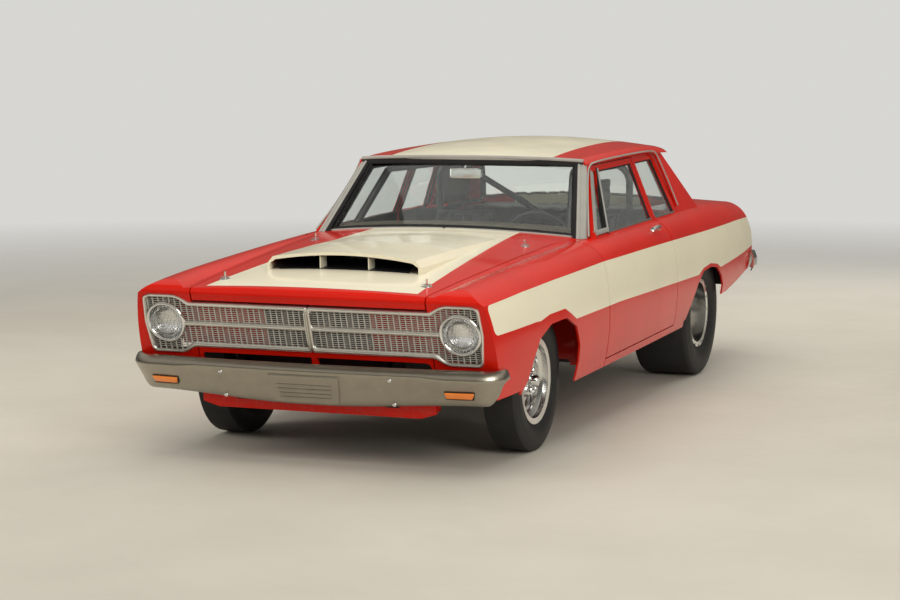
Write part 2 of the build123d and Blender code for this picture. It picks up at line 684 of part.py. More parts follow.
def floor_pan():
    """Cabin floor with its tunnel."""
    half = DOOR_TOP_X + 30
    top = SILL_TOP_Z + SHEET
    pan = box(-half, half, FIREWALL_Y - SHEET, TUB_FRONT_Y - SHEET, SILL_TOP_Z, top)
    pan -= box(DOOR_TOP_X - 7, 1000, DOOR_REAR_Y - 4, 1000, 0, 500)
    pan -= box(-1000, -DOOR_TOP_X + 7, DOOR_REAR_Y - 4, 1000, 0, 500)
    pan -= box(DOOR_TOP_X - 7, 1000, -1100, DOOR_FRONT_Y, 0, 500)
    pan -= box(-1000, -DOOR_TOP_X + 7, -1100, DOOR_FRONT_Y, 0, 500)
    tunnel = box(-150, 150, FIREWALL_Y - SHEET, TUB_FRONT_Y - SHEET, SILL_TOP_Z, 440)
    return (pan + tunnel) - box(-138, 138, -1100, 800, 300, 428) - rails()


def boot_floor():
    """The step behind the cabin floor, the boot floor and the tubs over the slicks."""
    step = box(-DOOR_TOP_X + 7, DOOR_TOP_X - 7, TUB_FRONT_Y - SHEET, TUB_FRONT_Y, SILL_TOP_Z,
               BOOT_Z + SHEET)
    boot = box(-TUB_X, TUB_X, TUB_FRONT_Y - SHEET, TUB_REAR_Y, BOOT_Z, BOOT_Z + SHEET)
    wide = INNER & box(-1000, 1000, TUB_REAR_Y - SHEET, 2363, BOOT_Z, BOOT_Z + SHEET)
    tub = box(TUB_X, 1000, TUB_FRONT_Y, TUB_REAR_Y, 420, TUB_TOP_Z)
    tub -= box(TUB_X + SHEET, 1001, TUB_FRONT_Y + SHEET, TUB_REAR_Y - SHEET, 400, TUB_TOP_Z - SHEET)
    tub = tub & INNER
    piece = step + boot + wide + tub + mirrored(tub)
    piece -= box(-138, 138, TUB_FRONT_Y - 100, TUB_FRONT_Y + 100, 300, 428)
    return piece - tail_panel() - rails()


def sill():
    """Left sill under the door."""
    return OUTER & box(740, 1000, DOOR_FRONT_Y, 650, SILL_LOW_Z, SILL_TOP_Z)


@functools.cache
@functools.cache
def left_rail():
    """Left chassis rail from bumper to bumper."""
    low, top = RAIL_LOW_Z, SILL_TOP_Z
    high_low, high_top = BOOT_RAIL_LOW_Z, BOOT_Z
    rail = side_prism(((-2574, top + 60), (-2574, low + 92), (-2460, low + 92), (-2380, low),
                       (640, low), (860, high_low), (2569, high_low), (2569, high_top),
                       (830, high_top), (610, top), (-2300, top), (-2380, top + 60)),
                      RAIL_IN_X, RAIL_OUT_X)
    return largest(rail - front_bumper() - rear_bumper())


def rails():
    """Two chassis rails with the cross members set between them."""
    low, top = RAIL_LOW_Z, SILL_TOP_Z
    rail = left_rail()
    inner_x, outer_x = RAIL_IN_X - SEAT_GAP, RAIL_OUT_X + SEAT_GAP
    pieces = [rail, mirrored(rail)]
    for y, height in ((-2312, top), (-1140, low + 38), (-480, low + 38), (500, low + 38)):
        pieces.append(box(-inner_x, inner_x, y - 30, y + 30, low, height))
    pieces.append(box(-inner_x, inner_x, FRONT_AXLE_Y - 70, FRONT_AXLE_Y + 70, low - 30, top))
    for y in (-780, 540):
        arm = box(outer_x, 740, y - 25, y + 25, low + 31, top)
        pieces += [arm, mirrored(arm)]
    return several(*pieces)


def wheelhouse_walls():
    """The walls between engine and front wheels, each with the shelf that carries the hood."""
    wall = box(RAIL_OUT_X - 6, RAIL_OUT_X, -2345, FIREWALL_Y - SHEET, SILL_TOP_Z, APRON_Z)
    shelf = box(RAIL_OUT_X - 6, 1000, -2345, FIREWALL_Y - SHEET, APRON_Z - 6, APRON_Z)
    wall = wall - left_rail() + (INNER & shelf)
    return several(wall, mirrored(wall))


def make_rim(width, disc_x, windows):
    """A wheel in its own frame: +X outward, centre on the origin."""
    w, flange, seat = width / 2, RIM_FLANGE_R, RIM_SEAT_R
    drop = seat - 24
    bore = SPINDLE_R + RUNNING_CLEAR
    low = disc_x - 14
    profile = ((-w, flange), (-w + 6, flange), (-w + 6, seat), (low - 16, seat), (low, drop),
               (disc_x + 20, drop), (disc_x + 34, seat), (w - 6, seat), (w - 6, flange),
               (w, flange), (w, flange - 4), (w - 4, seat - 7), (disc_x + 38, seat - 7),
               (disc_x + 24, drop - 7), (disc_x + 8, drop - 10), (disc_x + 16, 84),
               (disc_x + 30, 72), (disc_x + 34, 44), (disc_x + 30, 0), (disc_x + 8, 0),
               (disc_x + 8, bore), (disc_x - 40, bore), (disc_x - 40, 60), (disc_x + 4, 70),
               (disc_x - 3, drop - 10), (low - 4, drop - 7), (low - 20, seat - 7), (-w, seat - 7))
    wheel = revolve(Plane.XZ * make_face(Polyline(*profile, close=True)), axis=Axis.X)
    for k in range(windows):
        wheel -= Rot(k * 360 / windows, 0, 0) * (Pos(0, 0, 120) * Box(400, 15, 46))
    return wheel


def make_tyre(radius, width, rim_width):
    """A tyre in its own frame."""
    w, r = rim_width / 2, radius
    side = width / 2
    bead = RIM_SEAT_R + SEAT_GAP
    lip = RIM_FLANGE_R + 2
    inner = w - 6 - SEAT_GAP
    shoulder = side * 0.8
    high = (RIM_FLANGE_R + r) / 2 - 4
    profile = Curve() + [
        Line((-inner, bead), (inner, bead)),
        Line((inner, bead), (inner, lip)),
        ThreePointArc((inner, lip), (side, high), (side - 6, r - 38)),
        ThreePointArc((side - 6, r - 38), (side - 13, r - 14), (shoulder, r - 3)),
        ThreePointArc((shoulder, r - 3), (0, r), (-shoulder, r - 3)),
        ThreePointArc((-shoulder, r - 3), (-side + 13, r - 14), (-side + 6, r - 38)),
        ThreePointArc((-side + 6, r - 38), (-side, high), (-inner, lip)),
        Line((-inner, lip), (-inner, bead)),
    ]
    return revolve(Plane.XZ * make_face(profile), axis=Axis.X)


ARM_LOW_Z = 264.0
ARM_HIGH_Z = 476.0
ARM_T = 22.0


def knuckle():
    """Left steering knuckle: upright, kingpin, spindle and brake housing."""
    y, z = FRONT_AXLE_Y, FRONT_TYRE_R
    low, high = ARM_LOW_Z + ARM_T + 2, ARM_HIGH_Z - 2
    upright = box(KINGPIN_X - 20, KINGPIN_X + 16, y - 24, y + 24, low, high)
    pin = rod((KINGPIN_X, y, ARM_LOW_Z - 4), (KINGPIN_X, y, ARM_HIGH_Z + ARM_T + 4), KINGPIN_R)
    tip = FRONT_TRACK_HALF + FRONT_DISC_X + 6
    spindle = rod((KINGPIN_X, y, z), (tip, y, z), SPINDLE_R)
    drum = rod((KINGPIN_X + 44, y, z), (FRONT_TRACK_HALF + FRONT_DISC_X - 46, y, z), 124)
    return upright + pin + spindle + drum


def front_suspension():
    """Upper and lower arms of both front wheels."""
    arms = []
    y = FRONT_AXLE_Y
    for z in (ARM_LOW_Z, ARM_HIGH_Z):
        arm = plan_prism(((RAIL_OUT_X, y - 110), (KINGPIN_X - 16, y - 16), (KINGPIN_X - 16, y + 16),
                          (RAIL_OUT_X, y + 110), (RAIL_OUT_X, y + 60), (KINGPIN_X - 90, y),
                          (RAIL_OUT_X, y - 60)), z, z + ARM_T)
        eye = rod((KINGPIN_X, y, z), (KINGPIN_X, y, z + ARM_T), 23)
        hole = rod((KINGPIN_X, y, z - 5), (KINGPIN_X, y, z + ARM_T + 5), KINGPIN_R + RUNNING_CLEAR)
        arms.append(arm + eye - hole)
    left = several(*arms)
    return several(left, mirrored(left))


@functools.cache
def rear_axle():
    """Rear axle with its round centre, brake housings and leaf springs."""
    y, z = REAR_AXLE_Y, REAR_TYRE_R
    tip = REAR_TRACK_HALF + REAR_DISC_X + 6
    drum_x = REAR_TRACK_HALF + REAR_DISC_X - 46
    half = ((0, 0), (tip, 0), (tip, SPINDLE_R), (drum_x, SPINDLE_R), (drum_x, 124),
            (drum_x - 46, 124), (drum_x - 50, 42), (150, 42), (110, 88), (50, 128), (0, 134))
    side = revolve(Plane.XZ * make_face(Polyline(*half, close=True)), axis=Axis.X)
    axle = Pos(0, y, z) * (side + mirrored(side))
    spring = side_prism(((600, 250), (700, 246), (1240, 236), (1700, 380), (1960, 455),
                         (1960, 482), (1900, 478), (1690, 402), (1240, 264), (700, 272),
                         (640, 300)), RAIL_IN_X + 5, RAIL_OUT_X - 5)
    spring = rake(spring - rails())
    return axle + spring + mirrored(spring)


def driveline():
    """Gearbox and propeller shaft."""
    gearbox = box(-110, 110, -1290, -980, SILL_TOP_Z, 412) + box(-85, 85, -980, -455, SILL_TOP_Z, 412)
    gearbox += box(-60, 60, -505, -455, RAIL_LOW_Z + 38, SILL_TOP_Z)
    shaft = rod((0, -500, 372), (0, 1150, 318), 34)
    return rake(gearbox + shaft) - rear_axle()


def bumper_shell(outline, rows, wall):
    """A hollow bumper from level outlines. Each row: z, inset of its face."""
    shells = []
    for extra in (0.0, wall):
        faces = [Plane.XY.offset(z) * outline(inset + extra) for z, inset in rows]
        shells.append(loft(faces, ruled=True))
    return shells[0], shells[1]


def front_bumper_outline(inset):
    """Plan of the front bumper as a closed face; its ends draw in half as much as its front."""
    i, half = inset, BUMPER_X - inset / 2
    front, end = FRONT_BUMPER_Y + i, FRONT_BUMPER_Y + FRONT_BUMPER_BOW + i
    side = -2455 + 0.4 * i
    edges = [
        ThreePointArc((-812, end), (0, front), (812, end)),
        ThreePointArc((812, end), (905 - i / 2, -2515 + 0.78 * i), (half - 4, side)),
        Line((half - 4, side), (half, -2395)),
        Line((half, -2395), (-half, -2395)),
        Line((-half, -2395), (-half + 4, side)),
        ThreePointArc((-half + 4, side), (i / 2 - 905, -2515 + 0.78 * i), (-812, end)),
    ]
    return make_face(Curve() + edges)


@functools.cache
def front_bumper():
    """Front bumper: an overhanging crest, a face that leans back below it, and tucked-up ends."""
    outer, inner = bumper_shell(front_bumper_outline, FRONT_BUMPER_ROWS, 9.0)
    tuck = side_prism(((-2380, 300), (-2380, 436), (-2410, 412), (-2450, 366), (-2500, 330),
                       (-2540, 300)), -1000, 1000)
    return outer - inner - tuck


def rear_bumper_outline(inset):
    """Plan of the rear bumper as a closed face."""
    i = inset
    edges = [
        ThreePointArc((-800, 2568 - i), (0, 2585 - i), (800, 2568 - i)),
        ThreePointArc((800, 2568 - i), (892 - i * 0.7, 2535 - i * 0.8), (936 - i, 2455)),
        Line((936 - i, 2455), (946 - i, 2330)),
        Line((946 - i, 2330), (-946 + i, 2330)),
        Line((-946 + i, 2330), (-936 + i, 2455)),
        ThreePointArc((-936 + i, 2455), (-892 + i * 0.7, 2535 - i * 0.8), (-800, 2568 - i)),
    ]
    return make_face(Curve() + edges)


@functools.cache
def rear_bumper():
    """Rear bumper, wrapped round the corners."""
    rows = ((440, 16), (470, 1), (520, 0), (560, 14))
    outer, inner = bumper_shell(rear_bumper_outline, rows, 9.0)
    return outer - inner


@functools.cache
def tail_panel():
    """Rear panel between the quarters."""
    panel = side_prism(((2362, 900), (2374, 862), (2386, 800), (2436, 690), (2420, 575),
                        (2300, 478), (2286, 478), (2286, 492), (2405, 582), (2420, 690),
                        (2372, 798), (2358, 850), (2346, 900)), -1000, 1000)
    room = box(-DECK_HALF_X - GAP, DECK_HALF_X + GAP, 2300, 2400, 840, 1000)
    room -= body_block(DECK_T + GAP)
    return (panel & INNER) - rails() - room


def tail_lamps():
    """Two wide tail lamps set against the rear panel."""
    lamp = side_prism(((2380, 590), (2380, 776), (2420, 764), (2462, 690), (2446, 594)), 560, 846)
    lamp = (lamp & INNER) - tail_panel_room()
    return several(lamp, mirrored(lamp))


def tail_panel_room():
    """The tail panel and everything ahead of it."""
    return side_prism(((2000, 900), (2360, 900), (2386, 800), (2436, 690), (2420, 575),
                       (2300, 478), (2000, 478)), -1000, 1000)


def engine_block():
    """The engine as one plain block."""
    return box(-290, 290, -2010, -1290, SILL_TOP_Z, 850)


def fuel_tank():
    """Fuel tank under the boot floor."""
    return box(-330, 330, 1780, 2220, 425, BOOT_Z)


def exhaust():
    """Two exhaust pipes with their silencers, hung from the cross members."""
    made = []
    for side in (-1, 1):
        pipe = rod((240 * side, -1330, 222), (240 * side, 300, 222), 30)
        collector = rod((240 * side, -1340, 222), (262 * side, -1500, SILL_TOP_Z + 4), 36)
        can = rod((240 * side, 280, 222), (240 * side, 620, 222), 58)
        tip = rod((240 * side, 600, 222), (240 * side, 720, 222), 28)
        piece = pipe + Pos(240 * side, -1335, 222) * Sphere(36) + collector + can + tip
        for y in (-1140, -480, 500):
            piece += box(240 * side - 12, 240 * side + 12, y - 12, y + 12, 240, RAIL_LOW_Z)
        made.append(piece - engine_block() - rails())
    return several(*made)


def seats():
    """Two bucket seats; the driver's has a headrest."""
    made = []
    for x, rest in ((385, True), (-385, False)):
        seat = box(x - 190, x + 190, -40, 380, SILL_TOP_Z + SHEET, 402)
        seat += box(x - 230, x + 230, -80, 420, 400, 500)
        seat += side_prism(((340, 500), (420, 500), (545, 985), (490, 1000)), x - 225, x + 225)
        if rest:
            seat += side_prism(((488, 985), (545, 970), (590, 1150), (535, 1165)), x - 130, x + 130)
        made.append(seat)
    return several(*made)


def dashboard():
    """Instrument panel."""
    panel = side_prism(((-690, 962), (-620, 958), (-470, 915), (-455, 880), (-465, 790),
                        (-520, 735), (-690, 745)), -690, 690)
    pillar = screen_pillar()
    return (panel & INNER) - steering_column() - roll_cage() - pillar - mirrored(pillar)


COLUMN_FOOT = (360.0, FIREWALL_Y, 585.0)
COLUMN_TOP = (360.0, -300.0, 845.0)
WHEEL_GAP = 6.0


def column_plane(distance):
    """A plane across the steering column, at a distance past its top."""
    axis = Vector(*COLUMN_TOP) - Vector(*COLUMN_FOOT)
    return Plane(origin=Vector(*COLUMN_TOP) + axis.normalized() * distance, z_dir=axis)


@functools.cache
def steering_column():
    """Steering column with the stub that carries the wheel."""
    stub = extrude(column_plane(-1) * Circle(12), amount=33)
    foot = column_plane(-760) * Circle(22)
    tube = extrude(foot, amount=760) - box(0, 800, -1200, FIREWALL_Y, 300, 900)
    return tube + stub


def steering_wheel():
    """Steering wheel."""
    hub = extrude(column_plane(WHEEL_GAP) * Circle(34), amount=36)
    hub -= extrude(column_plane(0) * Circle(12 + RUNNING_CLEAR), amount=35)
    rim = column_plane(WHEEL_GAP + 30) * Torus(190, 11)
    spoke = column_plane(WHEEL_GAP + 30) * Box(372, 26, 7)
    third = column_plane(WHEEL_GAP + 30) * (Pos(0, -95, 0) * Box(26, 182, 7))
    spoke -= extrude(column_plane(0) * Circle(12 + RUNNING_CLEAR), amount=35)
    return rim + hub + spoke + (third - extrude(column_plane(0) * Circle(30), amount=60))


CAGE_Y = 640.0
TUBE_R = 21.0


@functools.cache
def roll_cage():
    """Roll cage: hoop behind the seats, diagonal, and bars down beside the windscreen."""
    floor = SILL_TOP_Z + SHEET
    hoop = bent_tube(((-600, CAGE_Y, floor), (-600, CAGE_Y, 1245), (600, CAGE_Y, 1245),
                      (600, CAGE_Y, floor)), 110, TUBE_R)
    brace = rod((-470, CAGE_Y, 1240), (598, CAGE_Y, 640), 18)
    side = bent_tube(((545, CAGE_Y, 1243), (552, -250, 1262), (640, -590, 930), (640, -590, floor)),
                     80, TUBE_R)
    return hoop + brace + side + mirrored(side)


def package_shelf():
    """Shelf under the back window, the panel behind it and the bulkhead below."""
    half = SHELF_HALF_X
    skin = (OUTER & box(-half, half, 1465, DECK_FRONT_Y - DECK_FRONT_GAP, 800, 1100)) - INNER
    riser = OUTER & box(-half, half, 1465, 1477, 918, 1100)
    shelf = INNER & box(-half, half, 1130, 1477, 918, 930)
    wall = box(-TUB_X, TUB_X, 1130, 1142, BOOT_Z + SHEET, 930)
    wide = box(-half, half, 1130, 1142, TUB_TOP_Z, 930)
    piece = skin + riser + shelf + wall + wide
    for arm in deck_hinges():
        piece += arm
    return piece


def write(name, shape):
    """One STEP file for a node."""
    export_step(shape, os.path.join("parts", name + ".step"))


def main():
    os.makedirs("parts", exist_ok=True)
    fender = front_fender()
    quarter = quarter_panel()
    left_door = door()
    pane = door_glass()
    pillar, post = screen_pillar(), door_post()
    rear_pillar = sail()
    level = {
        "front_fender_left": fender,
        "front_fender_right": mirrored(fender),
        "nose_panel": nose_panel() - rails(),
        "grille": grille(),
        "headlamps": headlamps(),
        "front_bumper": front_bumper(),
        "radiator": radiator(),
        "hood": hood(),
        "hood_pins": hood_pins(),
        "scuttle": scuttle(),
        "dashboard": dashboard(),
        "engine_block": engine_block(),
        "exhaust": exhaust(),
        "frame_rails": rails(),
        "wheelhouse_walls": wheelhouse_walls(),
        "floor_pan": floor_pan(),
        "boot_floor": boot_floor(),
        "sills": several(sill(), mirrored(sill())),
        "door_left": left_door,
        "door_right": mirrored(left_door),
        "door_glass_left": pane,
        "door_glass_right": mirrored(pane),
        "screen_pillars": several(pillar, mirrored(pillar)),
        "door_posts": several(post, mirrored(post)),
        "rear_pillars": several(rear_pillar, mirrored(rear_pillar)),
        "roof": roof(),
        "windscreen": windscreen(),
        "backlight": backlight(),
        "quarter_glass": several(quarter_glass(), mirrored(quarter_glass())),
        "quarter_panel_left": quarter,
        "quarter_panel_right": mirrored(quarter),
        "package_shelf": package_shelf(),
        "decklid": decklid(),
        "tail_panel": tail_panel(),
        "tail_lamps": tail_lamps(),
        "rear_bumper": rear_bumper(),
        "fuel_tank": fuel_tank(),
        "seats": seats(),
        "roll_cage": roll_cage(),
        "steering_column": steering_column(),
        "steering_wheel": steering_wheel(),
    }
    for name, shape in level.items():
        write(name, rake(shape))
    front_rim = make_rim(FRONT_RIM_W, FRONT_DISC_X, 10)
    rear_rim = make_rim(REAR_RIM_W, REAR_DISC_X, 0)
    front_tyre = make_tyre(FRONT_TYRE_R, FRONT_TYRE_W, FRONT_RIM_W)
    rear_tyre = make_tyre(REAR_TYRE_R, REAR_TYRE_W, REAR_RIM_W)
    places = (
        ("front", front_rim, front_tyre, FRONT_TRACK_HALF, FRONT_AXLE_Y, FRONT_TYRE_R),
        ("rear", rear_rim, rear_tyre, REAR_TRACK_HALF, REAR_AXLE_Y, REAR_TYRE_R),
    )
    for end, rim, tyre, x, y, z in places:
        for label, shape in (("rim", rim), ("tyre", tyre)):
            left = Pos(x, y, z) * shape
            write(f"{end}_{label}_left", left)
            write(f"{end}_{label}_right", mirrored(left))
    write("knuckle_left", knuckle())
    write("knuckle_right", mirrored(knuckle()))
    write("front_suspension", front_suspension())
    write("rear_axle", rear_axle())
    write("driveline", driveline())


main()
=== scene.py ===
import math
import bpy
import bmesh
from mathutils import Matrix, Vector


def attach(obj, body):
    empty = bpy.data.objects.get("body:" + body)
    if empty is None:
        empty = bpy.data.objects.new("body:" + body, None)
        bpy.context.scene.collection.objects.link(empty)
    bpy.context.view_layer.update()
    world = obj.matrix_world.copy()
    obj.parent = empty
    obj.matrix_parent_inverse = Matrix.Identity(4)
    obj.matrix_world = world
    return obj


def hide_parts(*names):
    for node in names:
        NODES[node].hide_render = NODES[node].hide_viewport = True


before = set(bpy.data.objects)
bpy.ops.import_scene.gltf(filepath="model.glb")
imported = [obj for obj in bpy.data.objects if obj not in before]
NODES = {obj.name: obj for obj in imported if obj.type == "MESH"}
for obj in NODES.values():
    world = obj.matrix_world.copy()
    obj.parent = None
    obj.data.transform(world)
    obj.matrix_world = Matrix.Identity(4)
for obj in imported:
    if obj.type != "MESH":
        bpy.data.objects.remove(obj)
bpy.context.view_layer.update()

SCENE = bpy.context.scene
MM = 0.001

# The body stands nose-down about the front axle; pieces of the body are built level, then turned
RAKE_SLOPE = 0.028
PIVOT = Vector((0.0, -1.7, 0.6))
RAKE = (Matrix.Translation(PIVOT) @ Matrix.Rotation(math.atan(RAKE_SLOPE), 4,
    "X") @ Matrix.Translation(-PIVOT))
LEVEL = RAKE.inverted()
# Wheels stand upright on the floor, in the frame of the world
FLOOR = Matrix.Identity(4)
SIDES = ((1, "left"), (-1, "right"))
ACROSS, ALONG = Vector((1, 0, 0)), Vector((0, 1, 0))


# Shader graphs

class Wire:
    """A node's output that can be calculated with like a number."""

    def __init__(self, socket):
        self.socket = socket
        self.tree = socket.id_data

    def math(self, operation, *others, clamp=False):
        """A math node that takes this wire first."""
        n = self.tree.nodes.new("ShaderNodeMath")
        n.operation = operation
        n.use_clamp = clamp
        for socket, value in zip(n.inputs, (self, *others)):
            plug(socket, value)
        return Wire(n.outputs[0])

    def __add__(self, other):
        return self.math("ADD", other)

    def __sub__(self, other):
        return self.math("SUBTRACT", other)

    def __mul__(self, other):
        return self.math("MULTIPLY", other)

    def __neg__(self):
        return self.math("MULTIPLY", -1.0)


def plug(socket, value):
    """Join a wire to a socket, or write a number or a colour on it."""
    if isinstance(value, Wire):
        value.tree.links.new(value.socket, socket)
    else:
        socket.default_value = (*value, 1.0) if isinstance(value, tuple) else value


def feed(n, **values):
    """Plug the named inputs of a node; _ stands for a space in their names."""
    for name, value in values.items():
        plug(n.inputs[name.replace("_", " ")], value)
    return n


def node(tree, kind, **values):
    """A new shader node with its inputs."""
    return feed(tree.nodes.new("ShaderNode" + kind), **values)


def coordinates(tree, kind):
    """A texture coordinate as one wire and as its x, y and z."""
    place = Wire(node(tree, "TexCoord").outputs[kind])
    return place, [Wire(socket) for socket in node(tree, "SeparateXYZ", Vector=place).outputs]


def graph(name):
    """A new material, its Principled shader, and the place in the model, also as x, y and z."""
    mat = bpy.data.materials.new(name)
    mat.use_nodes = True
    place, xyz = coordinates(mat.node_tree, "Object")
    return mat, mat.node_tree.nodes["Principled BSDF"], place, *xyz


def noise(place, scale, detail=3.0, rough=0.5):
    """Noise between 0 and 1 over the model's own coordinates."""
    return Wire(node(place.tree, "TexNoise", Scale=scale, Detail=detail, Roughness=rough,
        Vector=place).outputs["Fac"])


def spread(value, low, high, out_low=0.0, out_high=1.0):
    """A value's range mapped to another, clamped."""
    return Wire(node(value.tree, "MapRange", Value=value, From_Min=low, From_Max=high,
        To_Min=out_low, To_Max=out_high).outputs[0])


def mixed(share, first, second):
    """A mix of two colours."""
    n = node(share.tree, "Mix")
    n.data_type = "RGBA"
    for k, value in ((0, share), (6, first), (7, second)):
        plug(n.inputs[k], value)
    return Wire(n.outputs[2])


def tinted(colour, share):
    """The colour made darker or lighter."""
    return tuple(c * share for c in colour)


def bumped(shader, height, strength, distance):
    """Bump from a height onto the shader."""
    bump = node(height.tree, "Bump", Height=height, Strength=strength, Distance=distance)
    plug(shader.inputs["Normal"], Wire(bump.outputs[0]))


def above(value, edge, soft=0.0006):
    """0 below the edge, 1 above it; the edge is a number or a wire."""
    return spread(value - edge, -soft, soft)


def below(value, edge):
    """1 below the edge, 0 above it."""
    return above(-value, -edge)


def along(value, points):
    """A line of straight runs through the points (value, height)."""
    total = None
    for (v0, h0), (v1, h1) in zip(points, points[1:]):
        part = spread(value, v0, v1, 0.0, h1 - h0)
        total = part if total is None else total + part
    return total + points[0][1]


RED = (0.62, 0.011, 0.0035)
CREAM = (0.84, 0.775, 0.585)
# Near-black for the cabin's trim, also used as painted shade inside the front wheelhouses
TRIM_AND_SHADE_DARK = (0.016, 0.0155, 0.0145)
DUST = (0.2, 0.15, 0.11)

# In the level frame, along the car: front of the hood's band, end of the hood, end of the cabin
BAND_Y, COWL_Y, CABIN_Y = -2.478, -0.93, 1.6
# Top of the front wheelhouses; the wall behind the seats: from, to, top
WHEELHOUSE_Z, WALL_Y, WALL_Z = 0.79, (1.1, 1.16), 0.94

# Side stripe in the level frame: place along the car, height
STRIPE_TOP = ((-2.56, 0.812), (-2.1, 0.831), (-1.7, 0.839), (-0.9, 0.845), (0.0, 0.833),
    (1.25, 0.811), (2.0, 0.801), (2.5, 0.786))
STRIPE_LOW = ((-2.56, 0.672), (-1.99, 0.675), (-1.92, 0.672), (-1.8, 0.688), (-1.58, 0.688),
    (-1.5, 0.655), (-1.42, 0.617), (-0.7, 0.614), (0.9, 0.573), (1.02, 0.602), (1.2, 0.612),
    (1.36, 0.592), (1.45, 0.561), (2.15, 0.583), (2.5, 0.6))
STRIPE_CORNER = 0.03


def stripe_side(x, y, z):
    """1 on the cream band along the side, which has round front corners."""
    nearest = (along(y, STRIPE_TOP) - z).math("MINIMUM", z - along(y, STRIPE_LOW))
    front = y - (z * -0.295 + -2.264)
    a = (-front + STRIPE_CORNER).math("MAXIMUM", 0.0)
    b = (-nearest + STRIPE_CORNER).math("MAXIMUM", 0.0)
    inside = -(a * a + b * b).math("SQRT") + STRIPE_CORNER
    return above(inside, 0.0) * above(x.math("ABSOLUTE"), 0.85)


def stripe_hood(x, y, z):
    """1 on the cream band of the hood and the panel behind it."""
    half = along(y, ((-2.5, 0.545), (COWL_Y, 0.432), (-0.6, 0.42)))
    near_top = above(z, along(y, ((-2.5, 0.79), (COWL_Y, 0.915))))
    return above(half, x.math("ABSOLUTE")) * above(y, BAND_Y) * near_top


def stripe_flat(half):
    """A band of one width along the middle of the car."""
    return lambda x, y, z: below(x.math("ABSOLUTE"), half)


def paint(name, stripe=None):
    """Gloss body paint under clear lacquer, with the cream bands painted on."""
    mat, shader, place, x, y, z = graph(name)
    level_z = z - (y + 1.7) * RAKE_SLOPE
    level_y = y + (z + -0.6) * RAKE_SLOPE
    facing = coordinates(mat.node_tree, "Normal")[1]
    big = noise(place, 2.2, 4.0)
    tone = spread(big, 0.35, 0.7)
    base = mixed(tone, tinted(RED, 0.93), tinted(RED, 1.05))
    if stripe is not None:
        band = stripe(x, level_y, level_z) * above(facing[2], -0.35, 0.05)
        base = mixed(band, base, mixed(tone, tinted(CREAM, 0.965), tinted(CREAM, 1.015)))
    # Faces turned to the cabin and the wall behind the seats go near-black, partly dark trim and
    # partly painted shade; faces inside the front wheelhouses go near-black as painted shade
    inward = -(x.math("SIGN") * facing[0])
    wheelhouse_shade = above(level_y, -2.4) * below(level_z, WHEELHOUSE_Z)
    cabin = above(level_y, COWL_Y).math("MAXIMUM", wheelhouse_shade) * below(level_y, CABIN_Y)
    wall = (below(facing[1], -0.6) * above(level_y, WALL_Y[0]) * below(level_y, WALL_Y[1])
        * below(level_z, WALL_Z))
    trim_and_shade = (above(inward, 0.35) * cabin).math("MAXIMUM", wall)
    low = spread(level_z, 0.3, 0.42, 1.0, 0.0)
    dust = low * spread(noise(place, 38.0, 6.0, 0.65), 0.45, 0.75, 0.0, 0.16)
    rough = spread(noise(place, 5.0, 5.0), 0.3, 0.8, 0.17, 0.27)
    feed(shader, Base_Color=mixed(dust, mixed(trim_and_shade, base, TRIM_AND_SHADE_DARK), DUST), Roughness=rough
        + dust.math("MAXIMUM", trim_and_shade) * 0.6, Coat_Weight=trim_and_shade * -0.33 + 0.38,
        Coat_Roughness=0.025, Coat_IOR=1.36, Specular_IOR_Level=0.12)
    bumped(shader, noise(place, 420.0, 2.0) + big * 0.6, 0.06, 0.0004)
    return mat


def metal(name, colour, rough, vary, scratch=0.15, coat=0.0):
    """Bare, plated or polished metal with wear that varies over it."""
    mat, shader, place, *_ = graph(name)
    blot = noise(place, 14.0, 5.0, 0.6)
    fine = noise(place, 240.0, 3.0, 0.6)
    feed(shader, Base_Color=mixed(spread(blot, 0.3, 0.75), tinted(colour, 0.86), colour),
        Metallic=1.0, Coat_Weight=coat, Roughness=blot.math("MULTIPLY_ADD", vary, fine * vary
        + (rough - vary / 2), clamp=True))
    bumped(shader, fine, scratch, 0.0002)
    return mat


def enamel(name, colour, rough=0.45, vary=0.12, spots=180.0, depth=0.2, second=None, coat=0.0):
    """Painted or moulded surface with grain, dirt and a varied finish."""
    mat, shader, place, *_ = graph(name)
    big = noise(place, 9.0, 5.0, 0.6)
    fine = noise(place, spots, 4.0, 0.65)
    other = second or tuple(min(1.0, c * 1.5 + 0.006) for c in colour)
    feed(shader, Base_Color=mixed(spread(big, 0.35, 0.8, 0.0, 0.75), colour, other),
        Roughness=(big + fine).math("MULTIPLY_ADD", vary, rough - vary, clamp=True),
        Coat_Weight=coat, Coat_Roughness=0.05)
    bumped(shader, fine, depth, 0.0006)
    return mat


def rubber(name, axle_y, radius):
    """Tyre rubber: dusty bloom on the side wall, fine rings round it, a scuffed tread."""
    mat, shader, place, x, y, z = graph(name)
    dy, dz = y - axle_y, z - radius
    r = (dy * dy + dz * dz).math("SQRT")
    big = noise(place, 11.0, 6.0, 0.65)
    fine = noise(place, 320.0, 3.0, 0.6)
    tread = above(r, radius - 0.02, 0.012)
    wall = mixed(spread(big, 0.35, 0.75), (0.007, 0.007, 0.007), (0.017, 0.0165, 0.016))
    worn = mixed(spread(big, 0.3, 0.8), (0.01, 0.01, 0.01), (0.026, 0.025, 0.024))
    feed(shader, Base_Color=mixed(tread, wall, worn), Roughness=big * 0.22 + (tread * 0.15 + 0.46))
    near_bead = spread(r, radius - 0.11, radius - 0.07, 0.35, 0.0)
    bumped(shader, (r * 1300.0).math("SINE") * near_bead + fine * 0.5, 0.35, 0.0006)
    return mat


